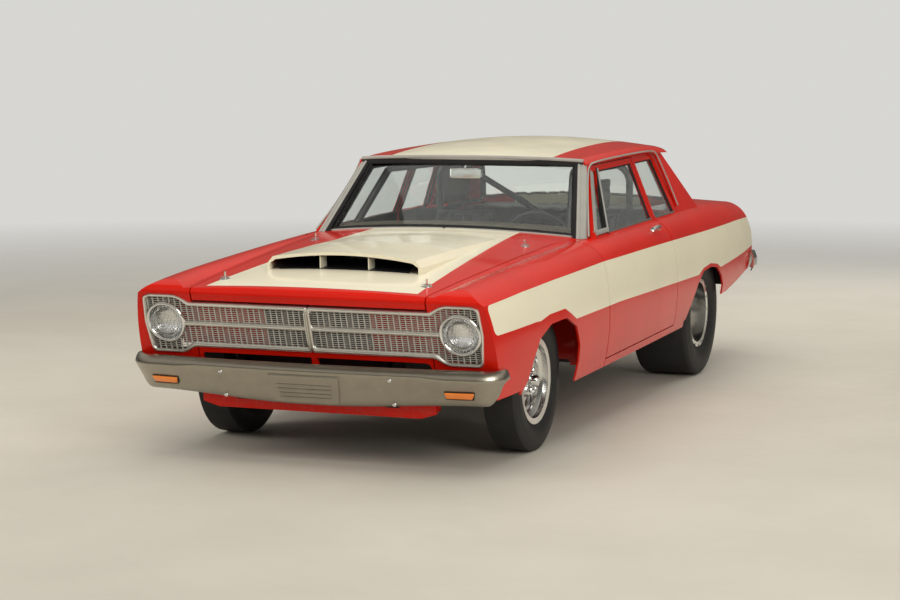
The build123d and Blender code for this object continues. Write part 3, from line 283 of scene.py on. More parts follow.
def clear(name, colour, rough=0.0, flutes=0.0):
    """Glass or a clear lens, with faint smears and on a lens flutes."""
    mat, shader, place, x, y, z = graph(name)
    smear = noise(place, 7.0, 6.0, 0.6)
    feed(shader, Base_Color=mixed(spread(smear, 0.4, 0.8), colour, tinted(colour, 0.985)),
        Roughness=spread(smear, 0.5, 0.9, rough, rough + 0.02), Transmission_Weight=1.0, IOR=1.45)
    if flutes:
        ripple = (z * (flutes * 0.35)).math("SINE")
        bumped(shader, (x * flutes).math("SINE") + ripple * 0.5, 0.5, 0.0012)
    else:
        bumped(shader, smear, 0.01, 0.0005)
    return mat


M = {
    "side": paint("paint_side", stripe_side),
    "hood": paint("paint_hood", stripe_hood),
    "roof": paint("paint_roof", stripe_flat(0.478)),
    "deck": paint("paint_deck", stripe_flat(0.42)),
    "red": paint("paint_red_plain"),
    "black": enamel("satin_black", (0.014, 0.014, 0.015), 0.42),
    "engine": enamel("engine_black", (0.02, 0.02, 0.021), 0.5, coat=0.2),
    "champagne": metal("champagne_coat", (0.42, 0.385, 0.315), 0.3, 0.08, scratch=0.08, coat=0.6),
    "bright": metal("bright_trim", (0.8, 0.79, 0.76), 0.17, 0.07),
    "satin": metal("satin_trim", (0.9, 0.885, 0.83), 0.34, 0.08, scratch=0.1),
    "silver": enamel("silver_paint", (0.52, 0.5, 0.44), 0.34, 0.08, spots=240.0, depth=0.1,
                     second=(0.6, 0.58, 0.51), coat=0.3),
    "moulding": enamel("bright_moulding", (0.35, 0.34, 0.3), 0.22, 0.06, spots=240.0, depth=0.1,
                       second=(0.43, 0.415, 0.37), coat=1.0),
    "chrome": metal("chrome_plate", (0.86, 0.86, 0.85), 0.05, 0.04, scratch=0.04),
    "alloy": metal("polished_alloy", (0.84, 0.835, 0.82), 0.12, 0.07, scratch=0.1),
    "steel": metal("dull_steel", (0.36, 0.355, 0.34), 0.42, 0.2, scratch=0.3),
    "cast": enamel("cast_iron", (0.045, 0.043, 0.041), 0.65, spots=90.0, depth=0.5),
    "glass": clear("window_glass", (0.93, 0.965, 0.94)),
    "lens": clear("lamp_lens", (0.97, 0.97, 0.96), 0.02, flutes=900.0),
    "lamp_red": enamel("lamp_red_lens", (0.42, 0.008, 0.006), 0.12, 0.05, coat=1.0),
    "amber": enamel("lamp_amber_lens", (0.85, 0.2, 0.012), 0.16, 0.05, coat=1.0),
    "rubber_trim": enamel("seal_rubber", (0.01, 0.01, 0.01), 0.6),
    "vinyl": enamel("seat_vinyl", (0.018, 0.018, 0.019), 0.42, 0.14, spots=420.0, depth=0.45),
    "dash": enamel("dash_paint", (0.088, 0.066, 0.036), 0.55, 0.12, spots=300.0, depth=0.3,
                   second=(0.108, 0.082, 0.046)),
    "headliner": enamel("roof_lining", (0.42, 0.4, 0.34), 0.8, 0.08, spots=500.0, depth=0.5),
    "lining": enamel("cabin_lining", (0.03, 0.029, 0.026), 0.62, 0.12, spots=520.0, depth=0.5),
    "marking": enamel("dial_marking", (0.62, 0.6, 0.52), 0.5, 0.1),
    "wheel_rim": enamel("wheel_plastic", (0.012, 0.012, 0.012), 0.32, 0.1, coat=0.3),
    "underseal": enamel("underseal", (0.02, 0.018, 0.016), 0.8, 0.1, spots=120.0, depth=0.7),
}
# Each axle's y and height, which is its tyres' radius, and the x of its hubs
AXLES = {"front": (-1.7, 0.345), "rear": (1.246, 0.385)}
HUB_X = {"front": 0.768, "rear": 0.716}
for end, (axle_y, radius) in AXLES.items():
    M[end + "_tyre"] = rubber(end + "_rubber", axle_y, radius)

NODE_MATERIALS = {
    "side": "front_fender_left front_fender_right door_left door_right quarter_panel_left "
            "quarter_panel_right",
    "hood": "hood scuttle",
    "roof": "roof",
    "deck": "decklid package_shelf",
    "red": "nose_panel sills screen_pillars door_posts rear_pillars tail_panel",
    "black": "radiator roll_cage steering_column front_suspension",
    "engine": "engine_block",
    "champagne": "front_bumper",
    "bright": "grille",
    "chrome": "hood_pins rear_bumper",
    "alloy": "front_rim_left front_rim_right rear_rim_left rear_rim_right",
    "front_tyre": "front_tyre_left front_tyre_right",
    "rear_tyre": "rear_tyre_left rear_tyre_right",
    "glass": "windscreen backlight door_glass_left door_glass_right quarter_glass",
    "lens": "headlamps",
    "lamp_red": "tail_lamps",
    "vinyl": "seats",
    "dash": "dashboard",
    "wheel_rim": "steering_wheel",
    "steel": "fuel_tank exhaust driveline",
    "cast": "knuckle_left knuckle_right rear_axle",
    "underseal": "frame_rails floor_pan wheelhouse_walls boot_floor",
}
for key, names in NODE_MATERIALS.items():
    for cad_name in names.split():
        slots = NODES[cad_name].data.materials
        if not slots:
            slots.append(M[key])
        for k in range(len(slots)):
            slots[k] = M[key]


# Mesh building

def modified(made, kind, **values):
    """A new modifier on an object, with its settings."""
    m = made.modifiers.new(kind.lower(), kind)
    for name, value in values.items():
        setattr(m, name, value)
    return m


def placed(name, data):
    """A new object in the scene."""
    made = bpy.data.objects.new(name, data)
    SCENE.collection.objects.link(made)
    return made


def circle(count, turn=0.0):
    """Cosine and sine of angles spread evenly round a circle."""
    angles = [2 * math.pi * k / count + turn for k in range(count)]
    return [(math.cos(a), math.sin(a)) for a in angles]


class Form:
    """Vertices and faces gathered in one local frame, then made into one piece."""

    def __init__(self):
        self.verts = []
        self.faces = []

    def add(self, verts, faces):
        """More vertices, with faces that count from the first of them."""
        first = len(self.verts)
        self.verts += [Vector(v) for v in verts]
        self.faces += [tuple(i + first for i in face) for face in faces]
        return self

    def box(self, low, high):
        """A box between two corners."""
        (a, b, c), (d, e, f) = low, high
        return self.add([(a, b, c), (d, b, c), (d, e, c), (a, e, c), (a, b, f), (d, b, f),
            (d, e, f), (a, e, f)], [(0, 3, 2, 1), (4, 5, 6, 7), (0, 1, 5, 4), (1, 2, 6, 5),
            (2, 3, 7, 6), (3, 0, 4, 7)])

    def rows(self, rows, round_up=True, caps=True):
        """A skin over rows of equally many points; each row closes on itself when round_up."""
        count = len(rows[0])
        faces = []
        last = count if round_up else count - 1
        for r in range(len(rows) - 1):
            for k in range(last):
                a, b = r * count + k, r * count + (k + 1) % count
                faces.append((a, b, b + count, a + count))
        if caps and round_up:
            faces.append(tuple(range(count))[::-1])
            faces.append(tuple(range((len(rows) - 1) * count, len(rows) * count)))
        return self.add([p for row in rows for p in row], faces)

    def turned(self, profile, steps=48, centre=(0.0, 0.0)):
        """A profile of (radius, z) turned round z."""
        x, y = centre
        return self.rows([[(x + radius * c, y + radius * s, z) for c, s in circle(steps)]
            for radius, z in profile], True, False)

    def tube(self, points, radius, sides=10):
        """A round bar through the points."""
        points = [Vector(p) for p in points]
        rings = []
        side = None
        for k, point in enumerate(points):
            run = points[min(k + 1, len(points) - 1)] - points[max(k - 1, 0)]
            run.normalize()
            if side is None:
                side = run.orthogonal().normalized()
            side = (side - run * side.dot(run)).normalized()
            up = run.cross(side)
            rings.append([point + side * radius * c + up * radius * s for c, s in circle(sides)])
        return self.rows(rings)

    def strip(self, points, outward, width, height, sink=0.0, crown=0.4):
        """A moulding through the points: width across, height along the outward directions."""
        points = [Vector(p) for p in points]
        rings = []
        for k, point in enumerate(points):
            run = (points[min(k + 1, len(points) - 1)] - points[max(k - 1, 0)]).normalized()
            out = Vector(outward[k]) if isinstance(outward, list) else Vector(outward)
            out = (out - run * out.dot(run)).normalized()
            across = run.cross(out)
            w = width / 2
            shape = ((-w, -sink), (w, -sink), (w, height * (1 - crown)), (w * 0.6, height * 0.93),
                (0, height), (-w * 0.6, height * 0.93), (-w, height * (1 - crown)))
            rings.append([point + across * a + out * b for a, b in shape])
        return self.rows(rings)

    def moved(self, matrix):
        """The form taken to another place."""
        self.verts = [matrix @ v for v in self.verts]
        return self

    def join(self, other):
        """Another form taken in."""
        return self.add(other.verts, other.faces)

    def on_side(self, side):
        """The form itself for the left side, its mirror image for the right."""
        if side < 0:
            self.verts = [Vector((-v.x, v.y, v.z)) for v in self.verts]
        return self

    def each_side(self, name, material, body, sides=SIDES, **more):
        """One piece on the left and its mirror image on the right; {} stands for the side."""
        for side, side_name in sides:
            form = Form().join(self).on_side(side)
            form.piece(name.format(side_name), material, body.format(side_name), **more)

    def mirrored(self):
        """The same form again on the other side of the car."""
        verts = [Vector((-v.x, v.y, v.z)) for v in self.verts]
        return self.add(verts, [face[::-1] for face in self.faces])

    def piece(self, name, material, body="body", place=RAKE, sharp=35.0, bevel=0.0, segments=2,
        subdivide=0, solid=0.0):
        """The gathered form as one object that rides on a body."""
        mesh = bpy.data.meshes.new(name)
        mesh.from_pydata([place @ v for v in self.verts], [], self.faces)
        work = bmesh.new()
        work.from_mesh(mesh)
        bmesh.ops.recalc_face_normals(work, faces=work.faces)
        work.to_mesh(mesh)
        work.free()
        mesh.materials.append(M[material])
        for poly in mesh.polygons:
            poly.use_smooth = True
        mesh.set_sharp_from_angle(angle=math.radians(sharp))
        made = placed(name, mesh)
        if solid:
            modified(made, "SOLIDIFY", thickness=solid, offset=-1)
        if bevel:
            modified(made, "BEVEL", width=bevel, segments=segments, limit_method="ANGLE",
                angle_limit=math.radians(35), harden_normals=True)
        if subdivide:
            modified(made, "SUBSURF", levels=subdivide, render_levels=subdivide)
        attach(made, body)
        return made


def basis(origin, x_dir, y_dir):
    """The matrix that takes a local frame to the level frame."""
    x = Vector(x_dir).normalized()
    z = x.cross(Vector(y_dir)).normalized()
    y = z.cross(x)
    m = Matrix((x, y, z)).transposed().to_4x4()
    m.translation = Vector(origin)
    return m


def rounded(points, radius, steps=4):
    """A closed outline with its corners rounded."""
    made = []
    count = len(points)
    for k in range(count):
        a, b, c = Vector(points[k - 1]), Vector(points[k]), Vector(points[(k + 1) % count])
        r = min(radius, (a - b).length * 0.45, (c - b).length * 0.45)
        start, end = b + (a - b).normalized() * r, b + (c - b).normalized() * r
        for j in range(steps + 1):
            t = j / steps
            made.append(tuple((1 - t) ** 2 * start + 2 * t * (1 - t) * b + t * t * end))
    return made


def probe(names, origin, direction):
    """Where a line meets the outer face of the named CAD pieces, in the level frame."""
    start = RAKE @ Vector(origin)
    way = (RAKE.to_3x3() @ Vector(direction)).normalized()
    best = None
    for name in names.split():
        hit, where, normal, _ = NODES[name].ray_cast(start, way)
        if hit and (best is None or (where - start).length < (best[0] - start).length):
            best = (where, normal)
    if best is None:
        raise SystemExit(f"nothing met by the line from {tuple(origin)} in {names}")
    return LEVEL @ best[0], (LEVEL.to_3x3() @ best[1]).normalized()


def lines(points, steps):
    """Points spread evenly along each straight run."""
    made = []
    for a, b in zip(points, points[1:]):
        for k in range(steps):
            t = k / steps
            made.append(tuple(Vector(a).lerp(Vector(b), t)))
    return made + [tuple(points[-1])]


def smooth_line(points, steps):
    """A smooth line through the points."""
    p = [Vector(q) for q in points]
    p = [p[0] * 2 - p[1]] + p + [p[-1] * 2 - p[-2]]
    made = []
    for k in range(1, len(p) - 2):
        for j in range(steps):
            t = j / steps
            made.append(0.5 * ((2 * p[k]) + (p[k + 1] - p[k - 1]) * t + (2 * p[k - 1] - 5 * p[k]
                + 4 * p[k + 1] - p[k + 2]) * t * t + (3 * p[k] - p[k - 1] - 3 * p[k + 1]
                + p[k + 2]) * t ** 3))
    return [tuple(v) for v in made] + [tuple(p[-2])]


# Nose: NOSE is the grille's leaning plane; OUTLINE and WINDOW lie on it in millimetres

NOSE = basis((0.0, -2.4857, 0.655), (1, 0, 0), (0, -0.2828, 0.9592))
ON_NOSE = RAKE @ NOSE
LAMP_X, LAMP_V, LAMP_R = 0.757, 0.02, 0.091
OUTLINE = ((0.0, 128.0), (618.0, 128.0), (662.0, 154.0), (698.0, 165.0), (828.0, 165.0),
    (862.0, 150.0), (872.0, 20.0), (856.0, -122.0), (842.0, -137.0), (690.0, -137.0),
    (664.0, -130.0), (618.0, -104.0), (0.0, -104.0))
WINDOW = ((17.0, 104.0), (622.0, 104.0), (668.0, 138.0), (700.0, 149.0), (826.0, 149.0),
    (848.0, 139.0), (857.0, 18.0), (842.0, -112.0), (832.0, -122.0), (694.0, -122.0),
    (670.0, -115.0), (624.0, -78.0), (17.0, -78.0))


def around(half, high):
    """A rectangle's corners."""
    return ((-half, -high), (half, -high), (half, high), (-half, high))


def nested(outline, levels):
    """Rows of one outline, each scaled across and up and set at its own height."""
    return [[(x * a, y * b, w) for x, y in outline] for a, b, w in levels]


def spans(polygon, axis, value):
    """Where a straight line crosses an outline: its lowest and highest crossing."""
    found = []
    for k in range(len(polygon)):
        a, b = polygon[k - 1], polygon[k]
        if (a[axis] - value) * (b[axis] - value) < 0:
            t = (value - a[axis]) / (b[axis] - a[axis])
            found.append(a[1 - axis] + t * (b[1 - axis] - a[1 - axis]))
    return (min(found), max(found)) if len(found) > 1 else None


def grille_frame():
    """Moulded frame round each half of the grille."""
    outer = [(x * MM, v * MM) for x, v in rounded(OUTLINE, 14.0, 3)]
    window = [(x * MM, v * MM) for x, v in rounded(WINDOW, 9.0, 3)]
    form = Form()
    rings = []
    for share, w in ((0.0, -26), (0.0, 3), (0.1, 7), (0.35, 9), (0.62, 8), (0.85, 3), (1.0, -3),
        (1.0, -24)):
        rings.append([(a[0] + (b[0] - a[0]) * share, a[1] + (b[1] - a[1]) * share, w * MM) for a,
            b in zip(outer, window)])
    form.rows(rings, True, False)
    return form.mirrored()


def lattice():
    """Fine bars across each half of the grille, round the lamps too."""
    form = Form()
    ring = LAMP_R * 1000 + 9
    centre = (LAMP_X * 1000, LAMP_V * 1000)
    for axis, start, pitch, count, thick, front, back in ((0, 17.0, 29.6, 29, 3.4, -4.0, -12.0),
        (1, -122.0, 10.3, 27, 2.1, -5.5, -10.0)):
        for value in [start + k * pitch for k in range(1, count)]:
            run = spans(WINDOW, axis, value)
            off = value - centre[axis]
            runs = [run] if run else []
            if run and abs(off) < ring:
                half = math.sqrt(ring * ring - off * off)
                runs = [(run[0], centre[1 - axis] - half), (centre[1 - axis] + half, run[1])]
            for a, b in runs:
                if b - a > 2:
                    low, high = (value - thick / 2, a), (value + thick / 2, b)
                    form.box(*[[c * MM for c in (*(end[::-1] if axis else end), w)] for end,
                        w in ((low, back), (high, front))])
    return form.mirrored()


grille = grille_frame().piece("grille_frame", "satin", place=ON_NOSE, sharp=40)
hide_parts("grille")
lattice().piece("grille_lattice", "silver", place=ON_NOSE, sharp=30)

bar = Form().rows([[(x, 0.004, -0.016), (x, 0.004, -0.001), (x, 0.008, 0.005), (x, 0.016, 0.0075),
    (x, 0.024, 0.005), (x, 0.028, -0.001), (x, 0.028, -0.016)] for x in (0.014, 0.655)])
bar.mirrored().piece("grille_middle_bar", "satin", place=ON_NOSE, sharp=50)

centre_outline = rounded(((-0.0165, 0.106), (-0.0185, 0.012), (-0.0145, -0.084), (0.0145, -0.084),
    (0.0185, 0.012), (0.0165, 0.106)), 0.01)
rim = Form().rows([[(x * share, 0.011 + (v - 0.011) * (0.88 + 0.12 * share), w)
    for x, v in centre_outline] for share, w in ((1.0, -0.02), (1.0, 0.01), (0.9, 0.014),
    (0.66, 0.0145), (0.56, 0.012), (0.54, 0.006))], True, False)
rim.piece("grille_centre_rim", "bright", place=ON_NOSE, sharp=50)
fill = Form().rows([[(x * 0.57, 0.011 + (v - 0.011) * 0.95, w) for x, v in centre_outline]
    for w in (0.0, 0.0085)])
fill.piece("grille_centre_fill", "champagne", place=ON_NOSE, sharp=50)

backing = Form()
for side in (-1, 1):
    backing.box((min(side * 0.27, side * 0.735), -0.128, -0.094), (max(side * 0.27, side * 0.735),
        0.128, -0.09))
backing.box((-0.655, 0.096, -0.094), (0.655, 0.128, -0.088))
backing.piece("radiator_support", "red", place=ON_NOSE, bevel=0.0015)

for side, name in SIDES:
    centre = (side * LAMP_X, LAMP_V)
    ring = Form().turned(((0.1, -0.024), (0.1035, -0.004), (0.1035, 0.004), (0.1, 0.0105),
        (0.095, 0.0125), (0.09, 0.0095), (0.0865, 0.003), (0.0855, -0.006)), 72, centre)
    ring.piece("lamp_ring_" + name, "chrome", place=ON_NOSE, sharp=60)
    bowl = Form().turned(((0.088, -0.006), (0.084, -0.02), (0.07, -0.04), (0.045, -0.055),
        (0.018, -0.062), (0.0005, -0.063)), 64, centre)
    bowl.piece("lamp_reflector_" + name, "chrome", place=ON_NOSE, sharp=60)
    lens = Form().turned(((0.0005, 0.0215), (0.02, 0.0205), (0.04, 0.0175), (0.06, 0.0125),
        (0.076, 0.0065), (0.086, 0.0005), (0.0875, -0.0045), (0.084, -0.004), (0.074, 0.0025),
        (0.058, 0.0085), (0.04, 0.013), (0.02, 0.0162), (0.0005, 0.0172)), 64, centre)
    lens = lens.piece("lamp_lens_" + name, "lens", place=ON_NOSE, sharp=60)
    if side == 1:
        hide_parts("headlamps")


# Front bumper

def ease(value, low, high):
    """0 to 1 between two values, smooth at both ends."""
    t = min(1.0, max(0.0, (value - low) / (high - low)))
    return t * t * (3 - 2 * t)


def arc(first, middle, last, count):
    """Points on the circle through three points, from the first to the last."""
    a, b, c = Vector(first), Vector(middle), Vector(last)
    d = 2 * (a.x * (b.y - c.y) + b.x * (c.y - a.y) + c.x * (a.y - b.y))
    x = (a.dot(a) * (b.y - c.y) + b.dot(b) * (c.y - a.y) + c.dot(c) * (a.y - b.y)) / d
    y = (a.dot(a) * (c.x - b.x) + b.dot(b) * (a.x - c.x) + c.dot(c) * (b.x - a.x)) / d
    start, mid, end = [math.atan2(p.y - y, p.x - x) for p in (a, b, c)]
    for _ in range(2):
        mid += 2 * math.pi * round((start - mid) / (2 * math.pi))
        end += 2 * math.pi * round((mid - end) / (2 * math.pi))
    r = math.hypot(a.x - x, a.y - y)
    return [(x + r * math.cos(start + (end - start) * k / count), y + r * math.sin(start
        + (end - start) * k / count)) for k in range(count + 1)]


FRONT_Y, BOW, BUMPER_X = -2585.0, 43.0, 960.0


def bumper_line(i):
    """Right half of the front bumper in plan, drawn in by an inset."""
    front, end, side = FRONT_Y + i, FRONT_Y + BOW + i, -2455 + 0.4 * i
    half = BUMPER_X - i / 2
    pts = arc((-812, end), (0, front), (812, end), 28)[14:-1]
    pts += arc((812, end), (905 - i / 2, -2515 + 0.78 * i), (half - 4, side), 12)
    return pts + [(half - 2, (side - 2395) / 2), (half, -2395)]


def bumper_skin():
    """Rows of the front bumper from its middle to its right end."""
    crest_line = bumper_line(0.0)
    section = [(1, t, i) for t, i in ((0.95, 52), (1.0, 42), (0.99, 35), (0.82, 20), (0.45, 7),
        (0.17, 1.5), (0.0, 0))]
    section += [(0, t, i) for t, i in ((0.03, 1.2), (0.1, 6), (0.3, 21), (0.52, 39), (0.78, 57.5),
        (0.9, 67), (0.96, 75), (1.0, 84), (1.01, 95), (1.0, 112))]
    rows = [[] for _ in crest_line]
    for upper, t, i in section:
        for k, (x, y) in enumerate(bumper_line(i)):
            ref_x, ref_y = crest_line[k]
            crest = 482 - 11 * ease(ref_x, 600, 670)
            low = 315 + 29 * ease(ref_x, 60, 820) + 92 * ease(ref_y, -2520, -2392)
            z = crest + (515 - crest) * t if upper else crest - (crest - low) * t
            rows[k].append((x * MM, y * MM, z * MM))
    return rows


half_rows = bumper_skin()
whole_rows = [[(-x, y, z) for x, y, z in row] for row in half_rows[:0:-1]] + half_rows
bumper = Form().rows(whole_rows, False).piece("front_bumper_face", "champagne", sharp=50,
    solid=0.0025)
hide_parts("front_bumper")

LEAN = 0.46


def on_bumper(x, z):
    """A local frame on the leaning face of the front bumper: x across, y up the face, z out."""
    y = (FRONT_Y + BOW * (x / 0.812) ** 2) * MM + LEAN * (0.4775 - z)
    return basis((x, y, z), (1, 2 * BOW * MM * x / 0.812 ** 2, 0), (0, -LEAN, 1))


plate = rounded(((-0.176, 0.064), (0.176, 0.064), (0.156, -0.07), (-0.156, -0.07)), 0.012)
rings = []
for grow, w in ((0.009, -0.004), (0.004, 0.0032), (0.0, 0.006), (-0.005, 0.0066)):
    rings.append([(x + math.copysign(grow, x), v + math.copysign(grow, v), w) for x, v in plate])
Form().rows(rings).piece("bumper_centre_panel", "champagne", place=RAKE @ on_bumper(0, 0.4),
    sharp=40)
ribs = Form()
for v in (0.02, -0.004, -0.028, -0.05):
    ends = 0.14 + 0.12 * v
    outline = rounded(((-ends, v - 0.005), (ends, v - 0.005), (ends, v + 0.005),
        (-ends, v + 0.005)), 0.0049)
    ribs.rows([[(x, y, 0.004) for x, y in outline], [(x, y, 0.0085) for x, y in outline],
        [(x * 0.985, v + (y - v) * 0.5, 0.0112) for x, y in outline]])
ribs.piece("bumper_ribs", "champagne", place=RAKE @ on_bumper(0, 0.4), sharp=60)

for side, name in SIDES:
    spot = on_bumper(side * 0.757, 0.4)
    shape = ((-0.071 * side, 0.015), (-0.064 * side, -0.0165), (0.06 * side, -0.0165),
        (0.073 * side, 0.015))
    for label, grow, low, high, soft, key in (("gasket", 0.0035, -0.006, 0.0025, 0.008,
        "rubber_trim"), ("lens", 0.0, -0.004, 0.008, 0.006, "amber")):
        base = rounded([(x + math.copysign(grow, x), v + math.copysign(grow, v)) for x,
            v in shape], soft, 5)
        form = Form().rows(nested(base, ((1, 1, low), (1, 1, high - 0.003),
            (0.975, 0.9, high - 0.0005), (0.93, 0.72, high + 0.0008))))
        form.piece(f"turn_lamp_{label}_{name}", key, place=RAKE @ spot, sharp=50)
    lip = Form().strip([(-0.066, -0.0225, 0.0), (-0.03, -0.024, 0.0), (0.03, -0.024, 0.0),
        (0.066, -0.0225, 0.0)], (0, 0, 1), 0.008, 0.009, 0.003)
    lip.piece("turn_lamp_lip_" + name, "champagne", place=RAKE @ spot, sharp=60)

bolts = Form()
for x in (0.434, -0.434):
    for z in (0.46, 0.34):
        head = Form().turned(((0.0105, -0.006), (0.0105, 0.003), (0.0085, 0.0058), (0.004, 0.0068),
            (0.0003, 0.007)), 16)
        bolts.join(head.moved(on_bumper(x, z)))
bolts.piece("bumper_bolts", "chrome", sharp=50)


# Black sheet just inside the scoop: painted shade of its deep opening
SCOOP = ((-2.099, 0.39, 0.36, 0.944, 0.9735), (-1.85, 0.394, 0.366, 0.947, 0.9765),
    (-1.565, 0.399, 0.372, 0.951, 0.98))
scoop_shade_rows = []
for y, base_x, edge_x, edge_z, crown_z in SCOOP:
    row = []
    for k in range(17):
        x = base_x * (1 - k / 8)
        floor_z = probe("hood", (x, y, 0.945), (0, 0, -1))[0].z + 0.002
        row.append((x, y, floor_z))
    for k in range(17):
        x = edge_x * (k / 8 - 1)
        row.append((x, y, edge_z + (crown_z - edge_z) * (1 - (x / edge_x) ** 2) - 0.0012))
    scoop_shade_rows.append(row)
Form().rows(scoop_shade_rows, True, False).piece("scoop_shade_sheet", "black", body="hood_panel", sharp=50)

# Tail: bezels and bars on the lamps, strips between them, lock, bumper bolts
bezel = Form()
bars = Form()
lamp_profile = ((2.386, 0.78), (2.424, 0.768), (2.466, 0.69), (2.45, 0.59))
path = [Vector((0.556, y, z)) for y, z in lamp_profile]
outer = [Vector((0.845, y - 0.003, z)) for y, z in lamp_profile]
for points in (path, outer, [path[1], outer[1]], [path[3], outer[3]]):
    bezel.tube(lines(points, 3), 0.0052)
for t in (0.25, 0.5, 0.75):
    for k in (1, 2):
        ends = [edge[k].lerp(edge[k + 1], t) for edge in (path, outer)]
        bars.tube(lines(ends, 3), 0.0026, 8)
bezel.mirrored().piece("tail_lamp_bezels", "chrome", sharp=60)
bars.mirrored().piece("tail_lamp_bars", "chrome", sharp=60)
reverse = Form()
for z0, y0, z1, y1 in ((0.6, 2.4535, 0.686, 2.4665), (0.694, 2.4655, 0.758, 2.4325)):
    reverse.rows([[(x, y0 + w, z0), (x + 0.058, y0 + w, z0), (x + 0.058, y1 + w, z1),
        (x, y1 + w, z1)] for x, w in ((0.564, -0.006), (0.564, 0.002))])
reverse.mirrored().piece("reverse_lenses", "lens", sharp=40, bevel=0.0015)
strips = Form()
for z in (0.768, 0.612):
    points = []
    for k in range(21):
        x = 0.545 * (k / 10 - 1)
        points.append(probe("tail_panel", (x, 2.7, z), (0, -1, 0))[0])
    strips.strip(points, (0, 1, 0.1), 0.014, 0.006, 0.004)
strips.piece("tail_strips", "bright", sharp=60)
lock = Form().turned(((0.017, -0.004), (0.017, 0.004), (0.014, 0.007), (0.006, 0.0075),
    (0.0003, 0.007)), 28)
spot, normal = probe("tail_panel", (0.0, 2.7, 0.7), (0, -1, 0))
lock.moved(basis(spot, ACROSS, normal.cross(ACROSS))).piece("boot_lock", "chrome", sharp=50)
rear_bolts = Form()
for x in (0.52, 0.4, -0.4, -0.52):
    spot, normal = probe("rear_bumper", (x, 2.9, 0.495), (0, -1, 0))
    head = Form().turned(((0.0115, -0.003), (0.0115, 0.003), (0.0085, 0.006), (0.0003, 0.007)), 20)
    rear_bolts.join(head.moved(basis(spot, ACROSS, normal.cross(ACROSS))))
rear_bolts.piece("rear_bumper_bolts", "chrome", sharp=50)


# Greenhouse trim

def screen_y(x, z, rows):
    """Front face of the curved glass at a place across the car and a height."""
    (z0, h0, e0, m0), (z1, h1, e1, m1) = rows
    t = (z - z0) / (z1 - z0)
    half, edge, mid = h0 + (h1 - h0) * t, e0 + (e1 - e0) * t, m0 + (m1 - m0) * t
    sag = edge - mid
    radius = (half * half + sag * sag) / (2 * abs(sag)) if abs(sag) > 1e-6 else 1e9
    drop = radius - math.sqrt(max(0.0, radius * radius - x * x))
    return mid + math.copysign(drop, sag)


SCREEN = ((0.93, 0.712, -0.728, -0.856), (1.32, 0.602, -0.366, -0.382))
BACK = ((0.93, 0.664, 1.533, 1.614), (1.32, 0.534, 1.144, 1.15))
LOOP_STEPS = 24


def glass_loop(rows, low_names, x_low, x_top, top_z, front):
    """Points round a curved glass, from its low middle round one side to its top middle."""
    (z0, h0, *_), (z1, h1, *_) = rows
    loop, outs = [], []
    for k in range(LOOP_STEPS + 1):
        x = x_low * k / LOOP_STEPS
        z = 0.96
        for _ in range(6):
            y = screen_y(x, z, rows)
            low = probe(low_names, (x, y + front * 0.004, 1.3), (0, 0, -1))[0].z
            z = 0.5 * z + 0.5 * low
        loop.append(Vector((x, screen_y(x, z, rows), z + 0.004)))
        outs.append(Vector((0, front, 0.45)))
    start = loop[-1]
    for k in range(1, LOOP_STEPS + 1):
        t = k / LOOP_STEPS
        z = start.z + (top_z(x_top) - start.z) * t
        x = start.x + (x_top - start.x) * t
        half = h0 + (h1 - h0) * (z - z0) / (z1 - z0)
        loop.append(Vector((x, screen_y(min(x, 0.999 * half), z, rows), z)))
        outs.append(Vector((0.35, front, 0.3)))
    for k in range(1, LOOP_STEPS + 1):
        x = x_top * (1 - k / LOOP_STEPS)
        z = top_z(x)
        loop.append(Vector((x, screen_y(x, z, rows), z)))
        outs.append(Vector((0, front, 0.25)))
    return loop, outs


def whole_loop(loop, outs):
    """The half loop with its mirror image, closed at the low middle."""
    other = [Vector((-p.x, p.y, p.z)) for p in loop[::-1]][1:]
    other_out = [Vector((-o.x, o.y, o.z)) for o in outs[::-1]][1:]
    return loop + other, outs + other_out


for label, rows, names, x_low, x_top, top_z, front in (("windscreen", SCREEN, "scuttle", 0.704,
    0.604, lambda x: 1.31 + 0.004 * (1 - (x / 0.6) ** 2), -1),
    ("backlight", BACK, "package_shelf quarter_panel_left", 0.64, 0.533, lambda x: 1.285 + 0.012
    * (1 - (x / 0.53) ** 2), 1)):
    loop, outs = whole_loop(*glass_loop(rows, names, x_low, x_top, top_z, front))
    Form().strip([p + o.normalized() * 0.001 for p, o in zip(loop, outs)], outs, 0.03, 0.007,
        0.008, 0.5).piece(label + "_rubber", "rubber_trim", sharp=60)
    away = []
    for p, o in zip(loop, outs):
        top = top_z(0.5) - 0.004
        side_on = abs(p.x) > 0.5 and 0.99 < p.z < top
        out_by = math.copysign(0.02 if side_on else 0.008, p.x)
        up_by = 0.019 if p.z > top else 0.0 if side_on else -0.006
        away.append(p + Vector((out_by, 0, up_by)) + o.normalized() * 0.005)
    Form().strip(away, outs, 0.011, 0.006, 0.007, 0.35).piece(label + "_trim", "moulding",
        sharp=60)

# Rubber and bright covers on the screen pillars
for name, key, shape in (("pillar_rubber", "rubber_trim", ((-0.1, 0.01), (-0.08, -0.009),
    (0.04, -0.011), (0.26, -0.01), (0.3, -0.002), (0.3, 0.012))), ("pillar_covers", "moulding",
    ((0.25, 0.006), (0.26, -0.0095), (0.32, -0.013), (0.5, -0.0125), (0.555, -0.007),
    (0.6, -0.0065), (0.65, -0.011), (0.84, -0.0045), (0.94, 0.004), (1.035, 0.018), (1.035, 0.034),
    (0.9, 0.03)))):
    cover = Form()
    rows = []
    for k in range(13):
        z = 0.944 + (1.318 - 0.944) * k / 12
        t = (z - 0.93) / (1.308 - 0.93)
        outer, wide, front = 0.782 - 0.114 * t, 0.064 - 0.008 * t, -0.754 + 0.362 * t
        rows.append([Vector((outer - wide + a * wide, front + b, z)) for a, b in shape])
    cover.rows(rows)
    cover.mirrored().piece(name, key, sharp=35)

